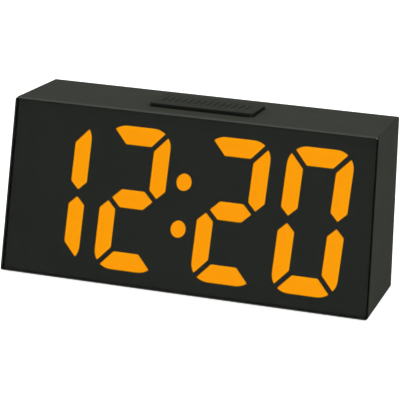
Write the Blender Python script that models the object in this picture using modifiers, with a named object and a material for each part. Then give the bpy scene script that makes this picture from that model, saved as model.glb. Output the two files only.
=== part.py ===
"""A battery digital alarm clock with large amber digits behind a smoked front.

The case is a wedge: its front leans back, its rear stands upright and its sides draw in towards the
top. X runs across the clock, Y from front to rear and Z up, and the origin is on the table under the
middle of the case. What lies behind the front is built in the leaning frame of the front plane, whose
X runs across, Y inwards and Z up the slope.
"""

import math

import bmesh
import bpy
from mathutils import Euler, Matrix, Vector

mm = 0.001

# Fits
clearance = 0.3 * mm
overrun = 1 * mm  # a cutter runs this far past the face that it opens
bite = 0.5 * mm  # a joined shape reaches this far into the one that carries it
weld_distance = 0.002 * mm
sharpest_left = math.radians(40)  # edges that turn by more than this are rounded

# Case
case_width = 150 * mm  # across the base
case_height = 70 * mm
case_depth = 50 * mm
front_setback = 5.5 * mm  # the front leans back this far at the top
side_draft = 2.25 * mm  # each side draws in this far at the top
wall = 2.4 * mm
edge_round = 0.6 * mm
foot_stand = 0.5 * mm  # the feet lift the case this far off the table
foot_radius = 4 * mm
foot_seat = 1.1 * mm  # depth of the recess that a foot is glued into
foot_inset_x = 13 * mm
foot_inset_y = 8 * mm
foot_edge = 0.3 * mm

# Smoked window, glued over the whole front
window_inset = 0.15 * mm
window_thickness = 1.8 * mm
window_bevel = 0.3 * mm
window_corner = 0.6 * mm

# Liquid crystal glasses, seated in the aperture of the front case
aperture_width = 135 * mm
aperture_rim_low = 3.6 * mm
aperture_rim_high = 3.4 * mm
glass_thickness = 1.1 * mm
contact_ledge = 2 * mm  # the front glass reaches this far below the rear one, for the flex

# Digits, as lit segments
shown_time = "12:20"
digit_width = 25.7 * mm
upright_stroke = 6.3 * mm
level_stroke = 7.1 * mm
digit_corner = 7.3 * mm
segment_gap = 2.2 * mm  # between the slanting ends of two segments
tip_gap = 3 * mm  # between the pointed ends at half height
digit_slant_share = 0.052  # sideways lean as a share of the height
digit_pitch = 32.4 * mm  # between the two digits of a pair
pair_pitch = 40 * mm  # between the digits on both sides of the colon
digit_row_shift = 2.25 * mm  # the row stands this far left of the middle
digit_margin_low = 6.1 * mm  # from the front's lower edge to the digits
digit_margin_high = 6.7 * mm
dot_width = 5.9 * mm
dot_height = 6.7 * mm
dot_spacing = 18.7 * mm
segment_clearance = 0.15 * mm
segment_recess = 0.1 * mm  # the lit segments end this far behind the mask's face

# Backlight stack in its tray
tray_margin_x = 1 * mm  # from the tray to the inner face of the case, at the top
tray_rim_low = 5.6 * mm  # the tray's lower edge, from the front's lower edge
tray_rim_high = 2.8 * mm
tray_wall = 1 * mm
tray_floor = 1 * mm
diffuser_thickness = 0.4 * mm
guide_thickness = 2 * mm
reflector_thickness = 0.3 * mm
lamp_width = 2.2 * mm
lamp_height = 4 * mm
lamp_depth = 1.6 * mm
lamp_lens_radius = 0.6 * mm

# Circuit boards and small screws
board_thickness = 1.6 * mm
board_stand = 4.7 * mm  # height of the tray's bosses
board_width = 116 * mm
board_height = 44 * mm
board_low = 5 * mm
board_corner = 2 * mm
board_screw_inset = 5 * mm
boss_radius = 2.7 * mm
pilot_radius = 1.1 * mm
pilot_depth = 4.2 * mm
shank_radius = 0.8 * mm
small_head_radius = 1.9 * mm
small_head_height = 1.2 * mm
small_screw_length = 5.4 * mm
chip_radius = 7 * mm
chip_height = 1.8 * mm
chip_share_x = -0.12  # place on the board, as shares of its width and height
chip_share_z = 0.55
crystal_radius = 1.5 * mm
crystal_length = 8 * mm
crystal_end_round = 0.4 * mm
crystal_share_x = 0.08
crystal_share_z = 0.6
flex_width = 64 * mm
flex_thickness = 0.25 * mm
flex_bend = 0.7 * mm
flex_rise = 5 * mm  # height of its soldered end on the board
flex_lap = 0.8 * mm  # height of its bonded end on the glass ledge

# Snooze bar and what it works
bar_width = 42 * mm
bar_depth = 21 * mm
bar_centre_y = 2 * mm
bar_stand = 1.6 * mm  # the bar stands this far out of the case
bar_corner = 1.5 * mm
bar_edge = 0.5 * mm
bar_wall = 1.5 * mm
bar_lip = 2 * mm  # at each end, under the case, to keep the bar in
bar_lip_thickness = 1.2 * mm
bar_lip_step = 1 * mm
bar_travel = 1.2 * mm
rib_count = 13
rib_pitch = 2.8 * mm
rib_width = 1 * mm
rib_length = 5 * mm
rib_height = 0.3 * mm
bar_stem_radius = 2.6 * mm
bar_stem_drop = 0.4 * mm  # the middle stem ends this far below the lip
spring_stem_radius = 2.4 * mm
spring_stem_rise = 0.7 * mm  # the side stems end this far above the lip's lower face
spring_offset = 12 * mm
spring_radius = 2 * mm
spring_wire = 0.5 * mm
spring_turns = 4
snooze_board_width = 62 * mm
snooze_board_depth = 12 * mm
snooze_boss_offset = 27 * mm
snooze_pilot_depth = 5.5 * mm

# Push switches
switch_side = 6 * mm
switch_height = 3.5 * mm
switch_base = 0.8 * mm
plunger_radius = 1.7 * mm
plunger_spare = 0.2 * mm  # left under a plunger that is pressed home
plunger_proud = 0.3 * mm  # left above the switch when it is pressed home

# Rear cover
cover_thickness = 2.2 * mm
cover_corner = 1.5 * mm
case_boss_radius = 3.9 * mm
case_boss_length = 20 * mm
case_boss_low = 8 * mm
case_boss_drop = 8 * mm
case_boss_gap = 3.4 * mm  # from the inner face of the case to the screw's axis
case_pilot_radius = 1.4 * mm
case_pilot_depth = 12 * mm
case_shank_radius = 1.1 * mm
case_screw_length = 10.5 * mm
case_head_radius = 2.2 * mm
case_head_height = 1 * mm
counterbore_radius = 2.5 * mm
counterbore_depth = 1.4 * mm
cross_slot = 0.6 * mm
cross_depth = 0.6 * mm

# Rear controls, in a sunk strip
strip_width = 68 * mm
strip_height = 12 * mm
strip_depth = 1.6 * mm
strip_wall = 1.5 * mm
strip_rim = 1.5 * mm
strip_corner = 2 * mm
strip_centre_x = 20 * mm
strip_drop = 13.5 * mm  # from the top of the case to the strip's centre line
button_names = ("set", "up", "down")
first_button_x = 14 * mm
button_pitch = 14 * mm
button_radius = 3.5 * mm
button_recess = 0.3 * mm  # the caps end this far inside the rear face
button_edge = 0.4 * mm
button_lip_radius = 4.6 * mm
button_lip = 1 * mm
button_travel = 0.5 * mm
control_board_width = 64 * mm
control_board_height = 12 * mm
stake_inset = 2 * mm
stake_radius = 1.5 * mm
stake_pin_radius = 0.9 * mm
stake_head_radius = 1.4 * mm
stake_head_height = 1 * mm
slider_x = 0.5 * mm
slider_travel = 3 * mm
slider_grip_width = 3.6 * mm
slider_grip_height = 4.4 * mm
slider_plate_width = 11 * mm
slider_plate_height = 6.4 * mm
slider_plate_thickness = 1 * mm
slider_stem_width = 2.6 * mm
slider_stem_height = 1.4 * mm
slider_body_width = 9 * mm
slider_body_height = 4.4 * mm

# Buzzer
buzzer_x = 34 * mm
buzzer_z = 28 * mm
buzzer_radius = 11.2 * mm
buzzer_thickness = 0.3 * mm
ceramic_radius = 7.6 * mm
ceramic_thickness = 0.25 * mm
ring_radius = 11.5 * mm
ring_wall = 1.4 * mm
ring_height = 2.4 * mm
ring_relief = 0.2 * mm
grille_hole_radius = 0.9 * mm
grille_pitch = 3.2 * mm
grille_rings = 2

# Battery bay, with two standard cells one above the other
cell_radius = 7.25 * mm
cell_length = 50.5 * mm
cell_nub_radius = 2.75 * mm
cell_nub_height = 1.3 * mm
cell_edge = 0.6 * mm
cell_gap = 0.6 * mm
bay_centre_x = -30 * mm
bay_drop = 28.25 * mm  # from the control strip's centre line to the middle of the bay
bay_wall = 2 * mm
contact_side = 9 * mm
contact_thickness = 0.4 * mm
cell_spring_length = 5.7 * mm
cell_spring_wide = 4.2 * mm
cell_spring_narrow = 2.6 * mm
cell_spring_wire = 0.7 * mm
cell_spring_turns = 3.5
door_lap = 1.2 * mm  # the door covers the bay's rim this far
door_thickness = 1.7 * mm
door_corner = 1.5 * mm
hook_offset = 16 * mm
hook_width = 6 * mm
hook_near = 2.7 * mm  # depths of the hook's faces, from the rear face
hook_far = 3.8 * mm
hook_low = 0.3 * mm  # the arm starts this far above the door's lower edge
hook_rise = 1.5 * mm
hook_drop = 1.4 * mm
hook_room = 0.6 * mm  # behind the hook, to let it turn
lip_width = 10 * mm
lip_rise = 1.3 * mm
lip_thickness = 1.2 * mm
notch_side = 2 * mm
notch_rise = 2.5 * mm
notch_floor = 0.3 * mm

# Leads
lead_radius = 0.6 * mm
lead_hole_radius = 1.1 * mm
lead_bow = 3.5 * mm  # how far the battery leads stand off the bay's side
ribbon_width = 10 * mm
ribbon_thickness = 0.5 * mm
ribbon_x = 21 * mm
snooze_lead_x = 8 * mm
lead_end_inset = 4 * mm

# Places worked out from the sizes above
case_bottom = foot_stand
case_top = case_bottom + case_height
front_edge = -case_depth / 2
rear_face = case_depth / 2
lean = math.atan2(front_setback, case_height)
front_length = math.hypot(case_height, front_setback)

digit_height = front_length - digit_margin_low - digit_margin_high

mask_front = window_thickness + clearance
segment_front = mask_front + glass_thickness + clearance
tray_front = segment_front + glass_thickness + clearance
guide_front = tray_front + diffuser_thickness + clearance
reflector_front = guide_front + guide_thickness + clearance
tray_floor_front = reflector_front + reflector_thickness + clearance
tray_back = tray_floor_front + tray_floor
board_front = tray_back + board_stand + clearance
board_back = board_front + board_thickness

cover_inner = rear_face - cover_thickness
strip_floor = rear_face - strip_depth
strip_inner = strip_floor - strip_wall
strip_centre_z = case_top - strip_drop
button_lip_outer = strip_inner - clearance
button_lip_inner = button_lip_outer - button_lip
plunger_top_y = button_lip_inner - clearance
switch_top_y = plunger_top_y - button_travel - plunger_proud
switch_bottom_y = switch_top_y - switch_height
control_board_rear = switch_bottom_y - clearance
control_board_front = control_board_rear - board_thickness

bar_top = case_top + bar_stand
lip_top = case_top - wall - clearance
lip_bottom = lip_top - bar_lip_thickness
bar_stem_end = lip_bottom - bar_stem_drop
snooze_plunger_top = bar_stem_end - clearance
snooze_switch_top = snooze_plunger_top - bar_travel - plunger_proud
snooze_switch_bottom = snooze_switch_top - switch_height
snooze_board_top = snooze_switch_bottom - clearance
snooze_board_bottom = snooze_board_top - board_thickness

door_inner = rear_face - door_thickness
bay_floor = door_inner - 2 * cell_radius - 2 * cell_gap
bay_height = 4 * cell_radius + 3 * cell_gap
plate_room = contact_thickness + 2 * clearance
spring_room = cell_spring_length + plate_room + clearance
bay_width = cell_length + plate_room + spring_room
bay_centre_z = strip_centre_z - bay_drop
bay_left = bay_centre_x - bay_width / 2
bay_right = bay_centre_x + bay_width / 2
cell_y = bay_floor + cell_gap + cell_radius
cell_rise = cell_radius + cell_gap / 2
door_width = bay_width + 2 * door_lap
door_height = bay_height + 2 * door_lap
door_low = bay_centre_z - door_height / 2

FACING = {
    "up": (0, 0, 0),
    "down": (math.pi, 0, 0),
    "rear": (-math.pi / 2, 0, 0),
    "front": (math.pi / 2, 0, 0),
    "right": (0, math.pi / 2, 0),
    "left": (0, -math.pi / 2, 0),
}


def half_width(height):
    """Half the case's width at a height above its bottom."""
    return case_width / 2 - side_draft * height / case_height


def clear_scene():
    for thing in list(bpy.data.objects):
        bpy.data.objects.remove(thing)


def new_collection(name):
    collection = bpy.data.collections.new(name)
    bpy.context.scene.collection.children.link(collection)
    return collection


def finish(name, red, green, blue, roughness, metallic=0.0, alpha=1.0, glow=0.0):
    """A Principled material from display colours of 0 to 255."""
    colour = [pow(level / 255, 2.2) for level in (red, green, blue)]
    material = bpy.data.materials.new(name)
    material.use_nodes = True
    shader = material.node_tree.nodes["Principled BSDF"]
    shader.inputs["Base Color"].default_value = (*colour, 1)
    shader.inputs["Roughness"].default_value = roughness
    shader.inputs["Metallic"].default_value = metallic
    shader.inputs["Alpha"].default_value = alpha
    shader.inputs["Emission Color"].default_value = (*colour, 1)
    shader.inputs["Emission Strength"].default_value = glow
    return material


clear_scene()
CLOCK = new_collection("digital_alarm_clock")
TOOLS = new_collection("cutters")

BLACK_ABS = finish("black_abs", 58, 60, 55, 0.45)
SMOKED_ACRYLIC = finish("smoked_acrylic", 20, 20, 19, 0.06, alpha=0.5)
MASK_GLASS = finish("mask_glass", 12, 12, 12, 0.2)
AMBER_SEGMENTS = finish("amber_segments", 255, 155, 5, 0.4, glow=1.0)
DIFFUSER_FILM = finish("diffuser_film", 236, 232, 220, 0.7)
CLEAR_ACRYLIC = finish("clear_acrylic", 225, 232, 235, 0.08)
WHITE_ABS = finish("white_abs", 232, 232, 226, 0.5)
LAMP_RESIN = finish("lamp_resin", 250, 200, 90, 0.3)
BOARD_LAMINATE = finish("board_laminate", 30, 92, 52, 0.5)
CHIP_RESIN = finish("chip_resin", 22, 22, 24, 0.35)
NICKEL_STEEL = finish("nickel_steel", 196, 196, 190, 0.3, metallic=1.0)
ZINC_STEEL = finish("zinc_steel", 180, 182, 186, 0.35, metallic=1.0)
BRASS = finish("brass", 200, 160, 80, 0.35, metallic=1.0)
CERAMIC = finish("ceramic", 226, 222, 210, 0.5)
DARK_NYLON = finish("dark_nylon", 40, 40, 42, 0.5)
PLUNGER_PLASTIC = finish("plunger_plastic", 70, 70, 74, 0.5)
BLACK_RUBBER = finish("black_rubber", 30, 30, 30, 0.85)
CELL_JACKET = finish("cell_jacket", 60, 78, 104, 0.4)
FLEX_FILM = finish("flex_film", 190, 140, 60, 0.5)
RED_SLEEVE = finish("red_sleeve", 170, 30, 28, 0.5)
BLACK_SLEEVE = finish("black_sleeve", 28, 28, 28, 0.5)
GREY_SLEEVE = finish("grey_sleeve", 150, 150, 152, 0.5)


def empty(name, at, turn=(0, 0, 0)):
    thing = bpy.data.objects.new(name, None)
    CLOCK.objects.link(thing)
    thing.location = at
    thing.rotation_euler = turn
    return thing


FRONT_PLANE = empty("front_plane", (0, front_edge, case_bottom), (-lean, 0, 0))
FRONT_TO_WORLD = Matrix.Translation((0, front_edge, case_bottom)) @ Matrix.Rotation(-lean, 4, "X")


def front_point(across, inwards, up_slope):
    """The world place of a point of the front plane's frame."""
    return FRONT_TO_WORLD @ Vector((across, inwards, up_slope))


def add(name, mesh, material, at=(0, 0, 0), turn=(0, 0, 0), parent=None):
    """An object of the clock, or a tool when it has no material."""
    thing = bpy.data.objects.new(name, mesh)
    thing.location = at
    thing.rotation_euler = turn
    thing.parent = parent
    if material is None:
        TOOLS.objects.link(thing)
        thing.hide_render = True
        thing.display_type = "WIRE"
    else:
        CLOCK.objects.link(thing)
        mesh.materials.clear()
        mesh.materials.append(material)
    return thing


def to_mesh(name, bm):
    mesh = bpy.data.meshes.new(name)
    bm.to_mesh(mesh)
    bm.free()
    return mesh


def block(name, across, inwards, upwards, material=None, parent=None):
    """A box between a low and a high value on each axis."""
    spans = (across, inwards, upwards)
    bm = bmesh.new()
    bmesh.ops.create_cube(bm, size=1)
    bmesh.ops.scale(bm, vec=[high - low for low, high in spans], verts=bm.verts)
    centre = [(low + high) / 2 for low, high in spans]
    return add(name, to_mesh(name, bm), material, centre, parent=parent)


def around(centre, size):
    """A low and a high value on both sides of a centre."""
    return centre - size / 2, centre + size / 2


def turned(name, profile, at, facing, material=None, parent=None, sides=20):
    """A turned piece from (radius, height) points that run down its outer side, top to bottom."""
    mesh = bpy.data.meshes.new(name)
    mesh.from_pydata(
        [(radius, 0, height) for radius, height in profile],
        [(i, i + 1) for i in range(len(profile) - 1)],
        [],
    )
    thing = add(name, mesh, material, at, FACING[facing], parent)
    screw = thing.modifiers.new("turn", "SCREW")
    screw.steps = sides
    screw.render_steps = sides
    screw.use_merge_vertices = True
    screw.merge_threshold = weld_distance
    screw.use_smooth_shade = False
    return thing


def rod(name, radius, low, high, at, facing, material=None, parent=None, sides=20):
    """A cylinder that runs from low to high along the way it faces."""
    bm = bmesh.new()
    bmesh.ops.create_cone(
        bm, cap_ends=True, segments=sides, radius1=radius, radius2=radius, depth=high - low
    )
    bmesh.ops.translate(bm, vec=(0, 0, (low + high) / 2), verts=bm.verts)
    return add(name, to_mesh(name, bm), material, at, FACING[facing], parent)


def evaluated_mesh(thing):
    depsgraph = bpy.context.evaluated_depsgraph_get()
    return bpy.data.meshes.new_from_object(thing.evaluated_get(depsgraph))


def plate(name, outlines, thickness, at, facing, material=None, parent=None):
    """A flat piece from closed outlines: the first is its edge and those inside it are holes."""
    curve = bpy.data.curves.new(name, "CURVE")
    curve.dimensions = "2D"
    curve.fill_mode = "BOTH"
    curve.extrude = thickness / 2
    for outline in outlines:
        spline = curve.splines.new("POLY")
        spline.points.add(len(outline) - 1)
        for point, (x, y) in zip(spline.points, outline):
            point.co = (x, y, 0, 1)
        spline.use_cyclic_u = True
    drawn = bpy.data.objects.new(name + "_outline", curve)
    CLOCK.objects.link(drawn)
    mesh = evaluated_mesh(drawn)
    bpy.data.objects.remove(drawn)
    bm = bmesh.new()
    bm.from_mesh(mesh)
    bmesh.ops.remove_doubles(bm, verts=bm.verts, dist=weld_distance)
    bmesh.ops.recalc_face_normals(bm, faces=bm.faces)
    bm.to_mesh(mesh)
    bm.free()
    return add(name, mesh, material, at, FACING[facing], parent)


def modify(target, tool, operation):
    modifier = target.modifiers.new(tool.name, "BOOLEAN")
    modifier.operation = operation
    modifier.object = tool
    modifier.solver = "EXACT"


def cut(target, *tools):
    for tool in tools:
        modify(target, tool, "DIFFERENCE")


def join(target, *tools):
    for tool in tools:
        modify(target, tool, "UNION")


def soften(thing, width, segments=1, sharpest=40):
    """Rounds every edge that turns by more than the given angle in degrees."""
    bevel = thing.modifiers.new("soften", "BEVEL")
    bevel.width = width
    bevel.segments = segments
    bevel.limit_method = "ANGLE"
    bevel.angle_limit = math.radians(sharpest)
    return bevel


def round_rim(thing, width, segments):
    """Rounds the rim of the flat face that the piece's own Z points out of."""
    bm = bmesh.new()
    bm.from_mesh(thing.data)
    bmesh.ops.dissolve_limit(bm, angle_limit=math.radians(1), verts=bm.verts, edges=bm.edges)
    upward = math.cos(math.radians(1))
    rim = [edge for edge in bm.edges if sum(face.normal.z > upward for face in edge.link_faces) == 1]
    bmesh.ops.bevel(bm, geom=rim, offset=width, segments=segments, profile=0.5, affect="EDGES")
    bm.to_mesh(thing.data)
    bm.free()


def bake(thing):
    """Turns a piece with its modifiers into a plain mesh, which copies can then share."""
    mesh = evaluated_mesh(thing)
    thing.modifiers.clear()
    thing.data = mesh
    return mesh


def shade_round(thing, sharpest=35):
    """Smooth shading, broken at the sharp edges."""
    thing.data.shade_smooth()
    thing.data.set_sharp_from_angle(angle=math.radians(sharpest))


def circle(radius, sides, centre=(0, 0)):
    turn = 2 * math.pi / sides
    return [
        (centre[0] + radius * math.cos(turn * i), centre[1] + radius * math.sin(turn * i))
        for i in range(sides)
    ]


def rounded(corners, radius, steps=5):
    """A convex outline, given counterclockwise, with each corner turned into an arc."""
    corners = [Vector(corner) for corner in corners]
    outline = []
    for i, corner in enumerate(corners):
        to_last = (corners[i - 1] - corner).normalized()
        to_next = (corners[(i + 1) % len(corners)] - corner).normalized()
        half = to_last.angle(to_next) / 2
        centre = corner + (to_last + to_next).normalized() * radius / math.sin(half)
        arm = corner + to_last * radius / math.tan(half) - centre
        for step in range(steps + 1):
            turn = Matrix.Rotation((math.pi - 2 * half) * step / steps, 2)
            outline.append(tuple(centre + turn @ arm))
    return outline


def rectangle(across, upwards):
    return [
        (across[0], upwards[0]),
        (across[1], upwards[0]),
        (across[1], upwards[1]),
        (across[0], upwards[1]),
    ]


def smooth_route(points, steps):
    """Points on a smooth curve through a route's own points."""
    points = [Vector(point) for point in points]
    padded = [2 * points[0] - points[1], *points, 2 * points[-1] - points[-2]]
    route = []
    for p0, p1, p2, p3 in zip(padded, padded[1:], padded[2:], padded[3:]):
        for step in range(steps):
            t = step / steps
            route.append(
                (
                    2 * p1
                    + (p2 - p0) * t
                    + (2 * p0 - 5 * p1 + 4 * p2 - p3) * t**2
                    + (3 * p1 - p0 - 3 * p2 + p3) * t**3
                )
                / 2
            )
    route.append(points[-1])
    return route


def tube(name, route, radius, material, resolution=1):
    """A round wire along a route."""
    curve = bpy.data.curves.new(name, "CURVE")
    curve.dimensions = "3D"
    curve.bevel_depth = radius
    curve.bevel_resolution = resolution
    curve.use_fill_caps = True
    spline = curve.splines.new("POLY")
    spline.points.add(len(route) - 1)
    for point, place in zip(spline.points, route):
        point.co = (*place, 1)
    thing = bpy.data.objects.new(name, curve)
    curve.materials.append(material)
    CLOCK.objects.link(thing)
    return thing


def coil(name, base, facing, length, start_radius, end_radius, turns, wire, material):
    """A coil spring whose wire fills the given length from its base."""
    points_per_turn = 9
    count = int(turns * points_per_turn)
    rise = length - wire
    direction = Euler(FACING[facing]).to_matrix()
    route = []
    for i in range(count + 1):
        share = i / count
        angle = 2 * math.pi * turns * share
        radius = start_radius + (end_radius - start_radius) * share
        height = wire / 2 + rise * share
        place = Vector((radius * math.cos(angle), radius * math.sin(angle), height))
        route.append(Vector(base) + direction @ place)
    return tube(name, route, wire / 2, material)


def strip(name, line, across, thickness, material, parent=None):
    """A thin strip that follows a line of (inwards, up) points."""
    bm = bmesh.new()
    rows = [[bm.verts.new((x, y, z)) for x in across] for y, z in line]
    for row, following in zip(rows, rows[1:]):
        bm.faces.new((row[0], row[1], following[1], following[0]))
    bmesh.ops.recalc_face_normals(bm, faces=bm.faces)
    thing = add(name, to_mesh(name, bm), material, parent=parent)
    solid = thing.modifiers.new("thickness", "SOLIDIFY")
    solid.thickness = thickness
    solid.offset = 0
    solid.use_even_offset = True
    return thing


def head_cross(name, radius, at, facing, parent=None):
    """The cross recess of a screw head, as a cutter that ends inside the head."""
    long, short = radius, cross_slot / 2
    arms = [(long, short), (short, short), (short, long)]
    quarter = [Vector(arm) for arm in arms]
    outline = []
    for i in range(4):
        turn = Matrix.Rotation(i * math.pi / 2, 2)
        outline += [tuple(turn @ arm) for arm in quarter]
    return plate(name, [outline], 2 * cross_depth, at, facing, parent=parent)


def screw_profile(shank, length, head_radius, head_height):
    """A pan head screw, its head's lower face at zero and its shank below."""
    crown = head_height / 3
    point = shank
    return [
        (0, head_height),
        (head_radius - crown, head_height),
        (head_radius, head_height - crown),
        (head_radius, 0),
        (shank, 0),
        (shank, point - length),
        (0, -length),
    ]


def make_screws(names, places, facing, shank, length, head_radius, head_height, parent=None):
    """Equal screws that share one mesh, each placed by the lower face of its head."""
    profile = screw_profile(shank, length, head_radius, head_height)
    first = turned(names[0], profile, places[0], facing, ZINC_STEEL, parent, sides=14)
    top = Vector(places[0]) + Euler(FACING[facing]).to_matrix() @ Vector((0, 0, head_height))
    cross = head_cross(names[0] + "_cross", head_radius / 2, top, facing, parent)
    cut(first, cross)
    mesh = bake(first)
    for name, place in zip(names[1:], places[1:]):
        add(name, mesh, ZINC_STEEL, place, FACING[facing], parent)


def make_window():
    """A flat sheet to the very edges of the front, its front edges bevelled."""
    low = window_inset
    high = front_length - window_inset
    half_low = case_width / 2 - window_inset
    half_high = case_width / 2 - side_draft - window_inset
    corners = [(-half_low, low), (half_low, low), (half_high, high), (-half_high, high)]
    outline = rounded(corners, window_corner)
    at = (0, window_thickness / 2, 0)
    window = plate("front_window", [outline], window_thickness, at, "front", SMOKED_ACRYLIC, FRONT_PLANE)
    round_rim(window, window_bevel, 3)


def open_shell():
    """The case as an open surface: a cube moved to the wedge's corners, without its rear face."""
    bm = bmesh.new()
    bmesh.ops.create_cube(bm, size=2)
    rear = [face for face in bm.faces if face.normal.y > 0]
    bmesh.ops.delete(bm, geom=rear, context="FACES_ONLY")
    for corner in bm.verts:
        side, depth, level = corner.co
        height = case_height if level > 0 else 0
        front = front_edge + front_setback * height / case_height + mask_front / math.cos(lean)
        corner.co = (side * half_width(height), rear_face if depth > 0 else front, case_bottom + height)
    return to_mesh("front_case", bm)


def round_case_edges(case):
    """Rounds the case's edges but for the front rim, which the window meets."""
    bm = bmesh.new()
    bm.from_mesh(case.data)
    bmesh.ops.remove_doubles(bm, verts=bm.verts, dist=weld_distance)
    facing = Vector((0, -math.cos(lean), math.sin(lean)))
    rim = -facing.dot(front_point(0, mask_front, 0))

    def at_rim(edge):
        return all(abs(facing.dot(corner.co) + rim) < weld_distance for corner in edge.verts)

    sharp = [edge for edge in bm.edges if edge.calc_face_angle(0) > sharpest_left and not at_rim(edge)]
    bmesh.ops.bevel(bm, geom=sharp, offset=edge_round, segments=3, profile=0.5, affect="EDGES")
    bm.to_mesh(case.data)
    bm.free()


def case_screw_places(y):
    """The four case screws stand near the side walls, wherever the draft puts these."""
    places = []
    for side in (-1, 1):
        for height in (case_boss_low, case_height - case_boss_drop):
            x = side * (half_width(height) - wall - case_boss_gap)
            places.append((x, y, case_bottom + height))
    return places


def make_front_case():
    """Top, sides, bottom and the frame behind the window in one moulding, open at the rear."""
    case = add("front_case", open_shell(), BLACK_ABS)
    solid = case.modifiers.new("wall", "SOLIDIFY")
    solid.thickness = wall
    solid.offset = -1
    solid.use_even_offset = True
    bake(case)
    round_case_edges(case)

    boss_end = cover_inner - clearance
    for number, place in enumerate(case_screw_places(boss_end), 1):
        boss = rod(f"case_boss_{number}", case_boss_radius, -case_boss_length, 0, place, "rear")
        pilot = rod(f"case_pilot_{number}", case_pilot_radius, -case_pilot_depth, overrun, place, "rear")
        join(case, boss)
        cut(case, pilot)
    for side in (-1, 1):
        place = (side * snooze_boss_offset, bar_centre_y, snooze_board_top + clearance)
        reach = case_top - wall + bite - place[2]
        boss = rod(f"snooze_boss_{side}", boss_radius, 0, reach, place, "up")
        pilot = rod(f"snooze_pilot_{side}", pilot_radius, -overrun, snooze_pilot_depth, place, "up")
        join(case, boss)
        cut(case, pilot)

    aperture = block(
        "aperture",
        around(0, aperture_width),
        (mask_front - overrun, mask_front + wall + overrun),
        (aperture_rim_low, front_length - aperture_rim_high),
        parent=FRONT_PLANE,
    )
    opening = plate(
        "bar_opening",
        [rounded_bar(clearance)],
        2 * (wall + overrun),
        (0, bar_centre_y, case_top),
        "up",
    )
    cut(case, aperture, opening)
    for number, (x, y) in enumerate(foot_places(), 1):
        seat_radius = foot_radius + clearance
        place = (x, y, case_bottom)
        cut(case, rod(f"foot_seat_{number}", seat_radius, -overrun, foot_seat, place, "up"))


def foot_places():
    reach_x = case_width / 2 - foot_inset_x
    reach_y = case_depth / 2 - foot_inset_y
    return [(x, y) for x in (-reach_x, reach_x) for y in (-reach_y, reach_y)]


def make_feet():
    """Rubber discs, each glued into its recess."""
    height = foot_stand + foot_seat - clearance
    profile = [
        (0, height),
        (foot_radius, height),
        (foot_radius, foot_edge),
        (foot_radius - foot_edge, 0),
        (0, 0),
    ]
    for number, (x, y) in enumerate(foot_places(), 1):
        turned(f"foot_{number}", profile, (x, y, 0), "up", BLACK_RUBBER)


def meet_arc(start, direction, centre, radius):
    """Where a line from start, running along direction, first meets a circle from outside."""
    offset = start - centre
    along = offset.dot(direction)
    depth = math.sqrt(along * along - offset.length_squared + radius * radius)
    return start + direction * (-along - depth)


def arc_points(centre, radius, first, last, steps):
    return [
        centre + radius * Vector((math.cos(angle), math.sin(angle)))
        for angle in (first + (last - first) * step / steps for step in range(steps + 1))
    ]


def segment_outlines(grow):
    """The seven segments of an upright digit about its centre, each widened all round by grow.

    The digit is a rounded rectangle of strokes, cut at each corner along the line from its outer to
    its inner corner, and at half height into 45 degree tips.
    """
    right = digit_width / 2 + grow
    top = digit_height / 2 + grow
    upright = upright_stroke + 2 * grow
    level = level_stroke + 2 * grow
    corner = digit_corner + grow
    outer = Vector((right, top))
    inner = Vector((right - upright, top - level))
    inwards = (inner - outer).normalized()
    across = Vector((inwards.y, -inwards.x)) * (segment_gap / 2 - grow)
    centre = Vector((right - corner, top - corner))

    level_end = meet_arc(outer + across, inwards, centre, corner)
    level_in = outer + across + inwards * (level + across.y) / -inwards.y
    first = (level_end - centre).angle_signed(Vector((1, 0)))
    half_top = [level_in, *arc_points(centre, corner, first, math.pi / 2, 5)]
    top_bar = half_top + [Vector((-x, y)) for x, y in reversed(half_top)]

    upright_end = meet_arc(outer - across, inwards, centre, corner)
    upright_in = outer - across + inwards * (upright - across.x) / -inwards.x
    last = (upright_end - centre).angle_signed(Vector((1, 0)))
    tip = tip_gap / 2 - grow
    shoulder = tip + upright / 2
    upper_right = [
        Vector((right - upright / 2, tip)),
        Vector((right, shoulder)),
        *arc_points(centre, corner, 0, last, 5),
        upright_in,
        Vector((right - upright, shoulder)),
    ]
    reach = digit_width / 2 - upright_stroke / 2 - tip_gap / 2 + grow
    half_bar = [(reach, 0), (reach - level / 2, level / 2), (level / 2 - reach, level / 2)]
    middle_bar = [Vector(p) for p in half_bar] + [-Vector(p) for p in half_bar]

    def mirrored(outline, x, y):
        return [Vector((x * point.x, y * point.y)) for point in outline]

    return {
        "a": top_bar,
        "b": upper_right,
        "c": mirrored(upper_right, 1, -1),
        "d": mirrored(top_bar, 1, -1),
        "e": mirrored(upper_right, -1, -1),
        "f": mirrored(upper_right, -1, 1),
        "g": middle_bar,
    }


LIT_SEGMENTS = {
    "0": "abcdef",
    "1": "bc",
    "2": "abged",
    "3": "abgcd",
    "4": "fgbc",
    "5": "afgcd",
    "6": "afgedc",
    "7": "abc",
    "8": "abcdefg",
    "9": "abcdfg",
}


def lit_outlines(grow):
    """The outlines of all lit segments and of the colon, in the front plane."""
    outlines = segment_outlines(grow)
    middle = digit_margin_low + digit_height / 2
    offset = pair_pitch / 2
    centres = (-offset - digit_pitch, -offset, 0, offset, offset + digit_pitch)
    lit = []
    for character, centre in zip(shown_time, centres):
        if character == ":":
            spots = [
                [(x, y + side * dot_spacing / 2) for x, y in dot_outline(grow)] for side in (-1, 1)
            ]
        else:
            spots = [outlines[letter] for letter in LIT_SEGMENTS[character]]
        for spot in spots:
            lit.append([(x + digit_slant_share * y + centre - digit_row_shift, middle + y) for x, y in spot])
    return lit


def dot_outline(grow):
    return [
        (x * (dot_width / 2 + grow), y * (dot_height / 2 + grow)) for x, y in circle(1, 24)
    ]


def front_block(name, across, near, thickness, upwards, material=None):
    """A box behind the front, from a depth of near on."""
    return block(name, across, (near, near + thickness), upwards, material, FRONT_PLANE)


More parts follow.
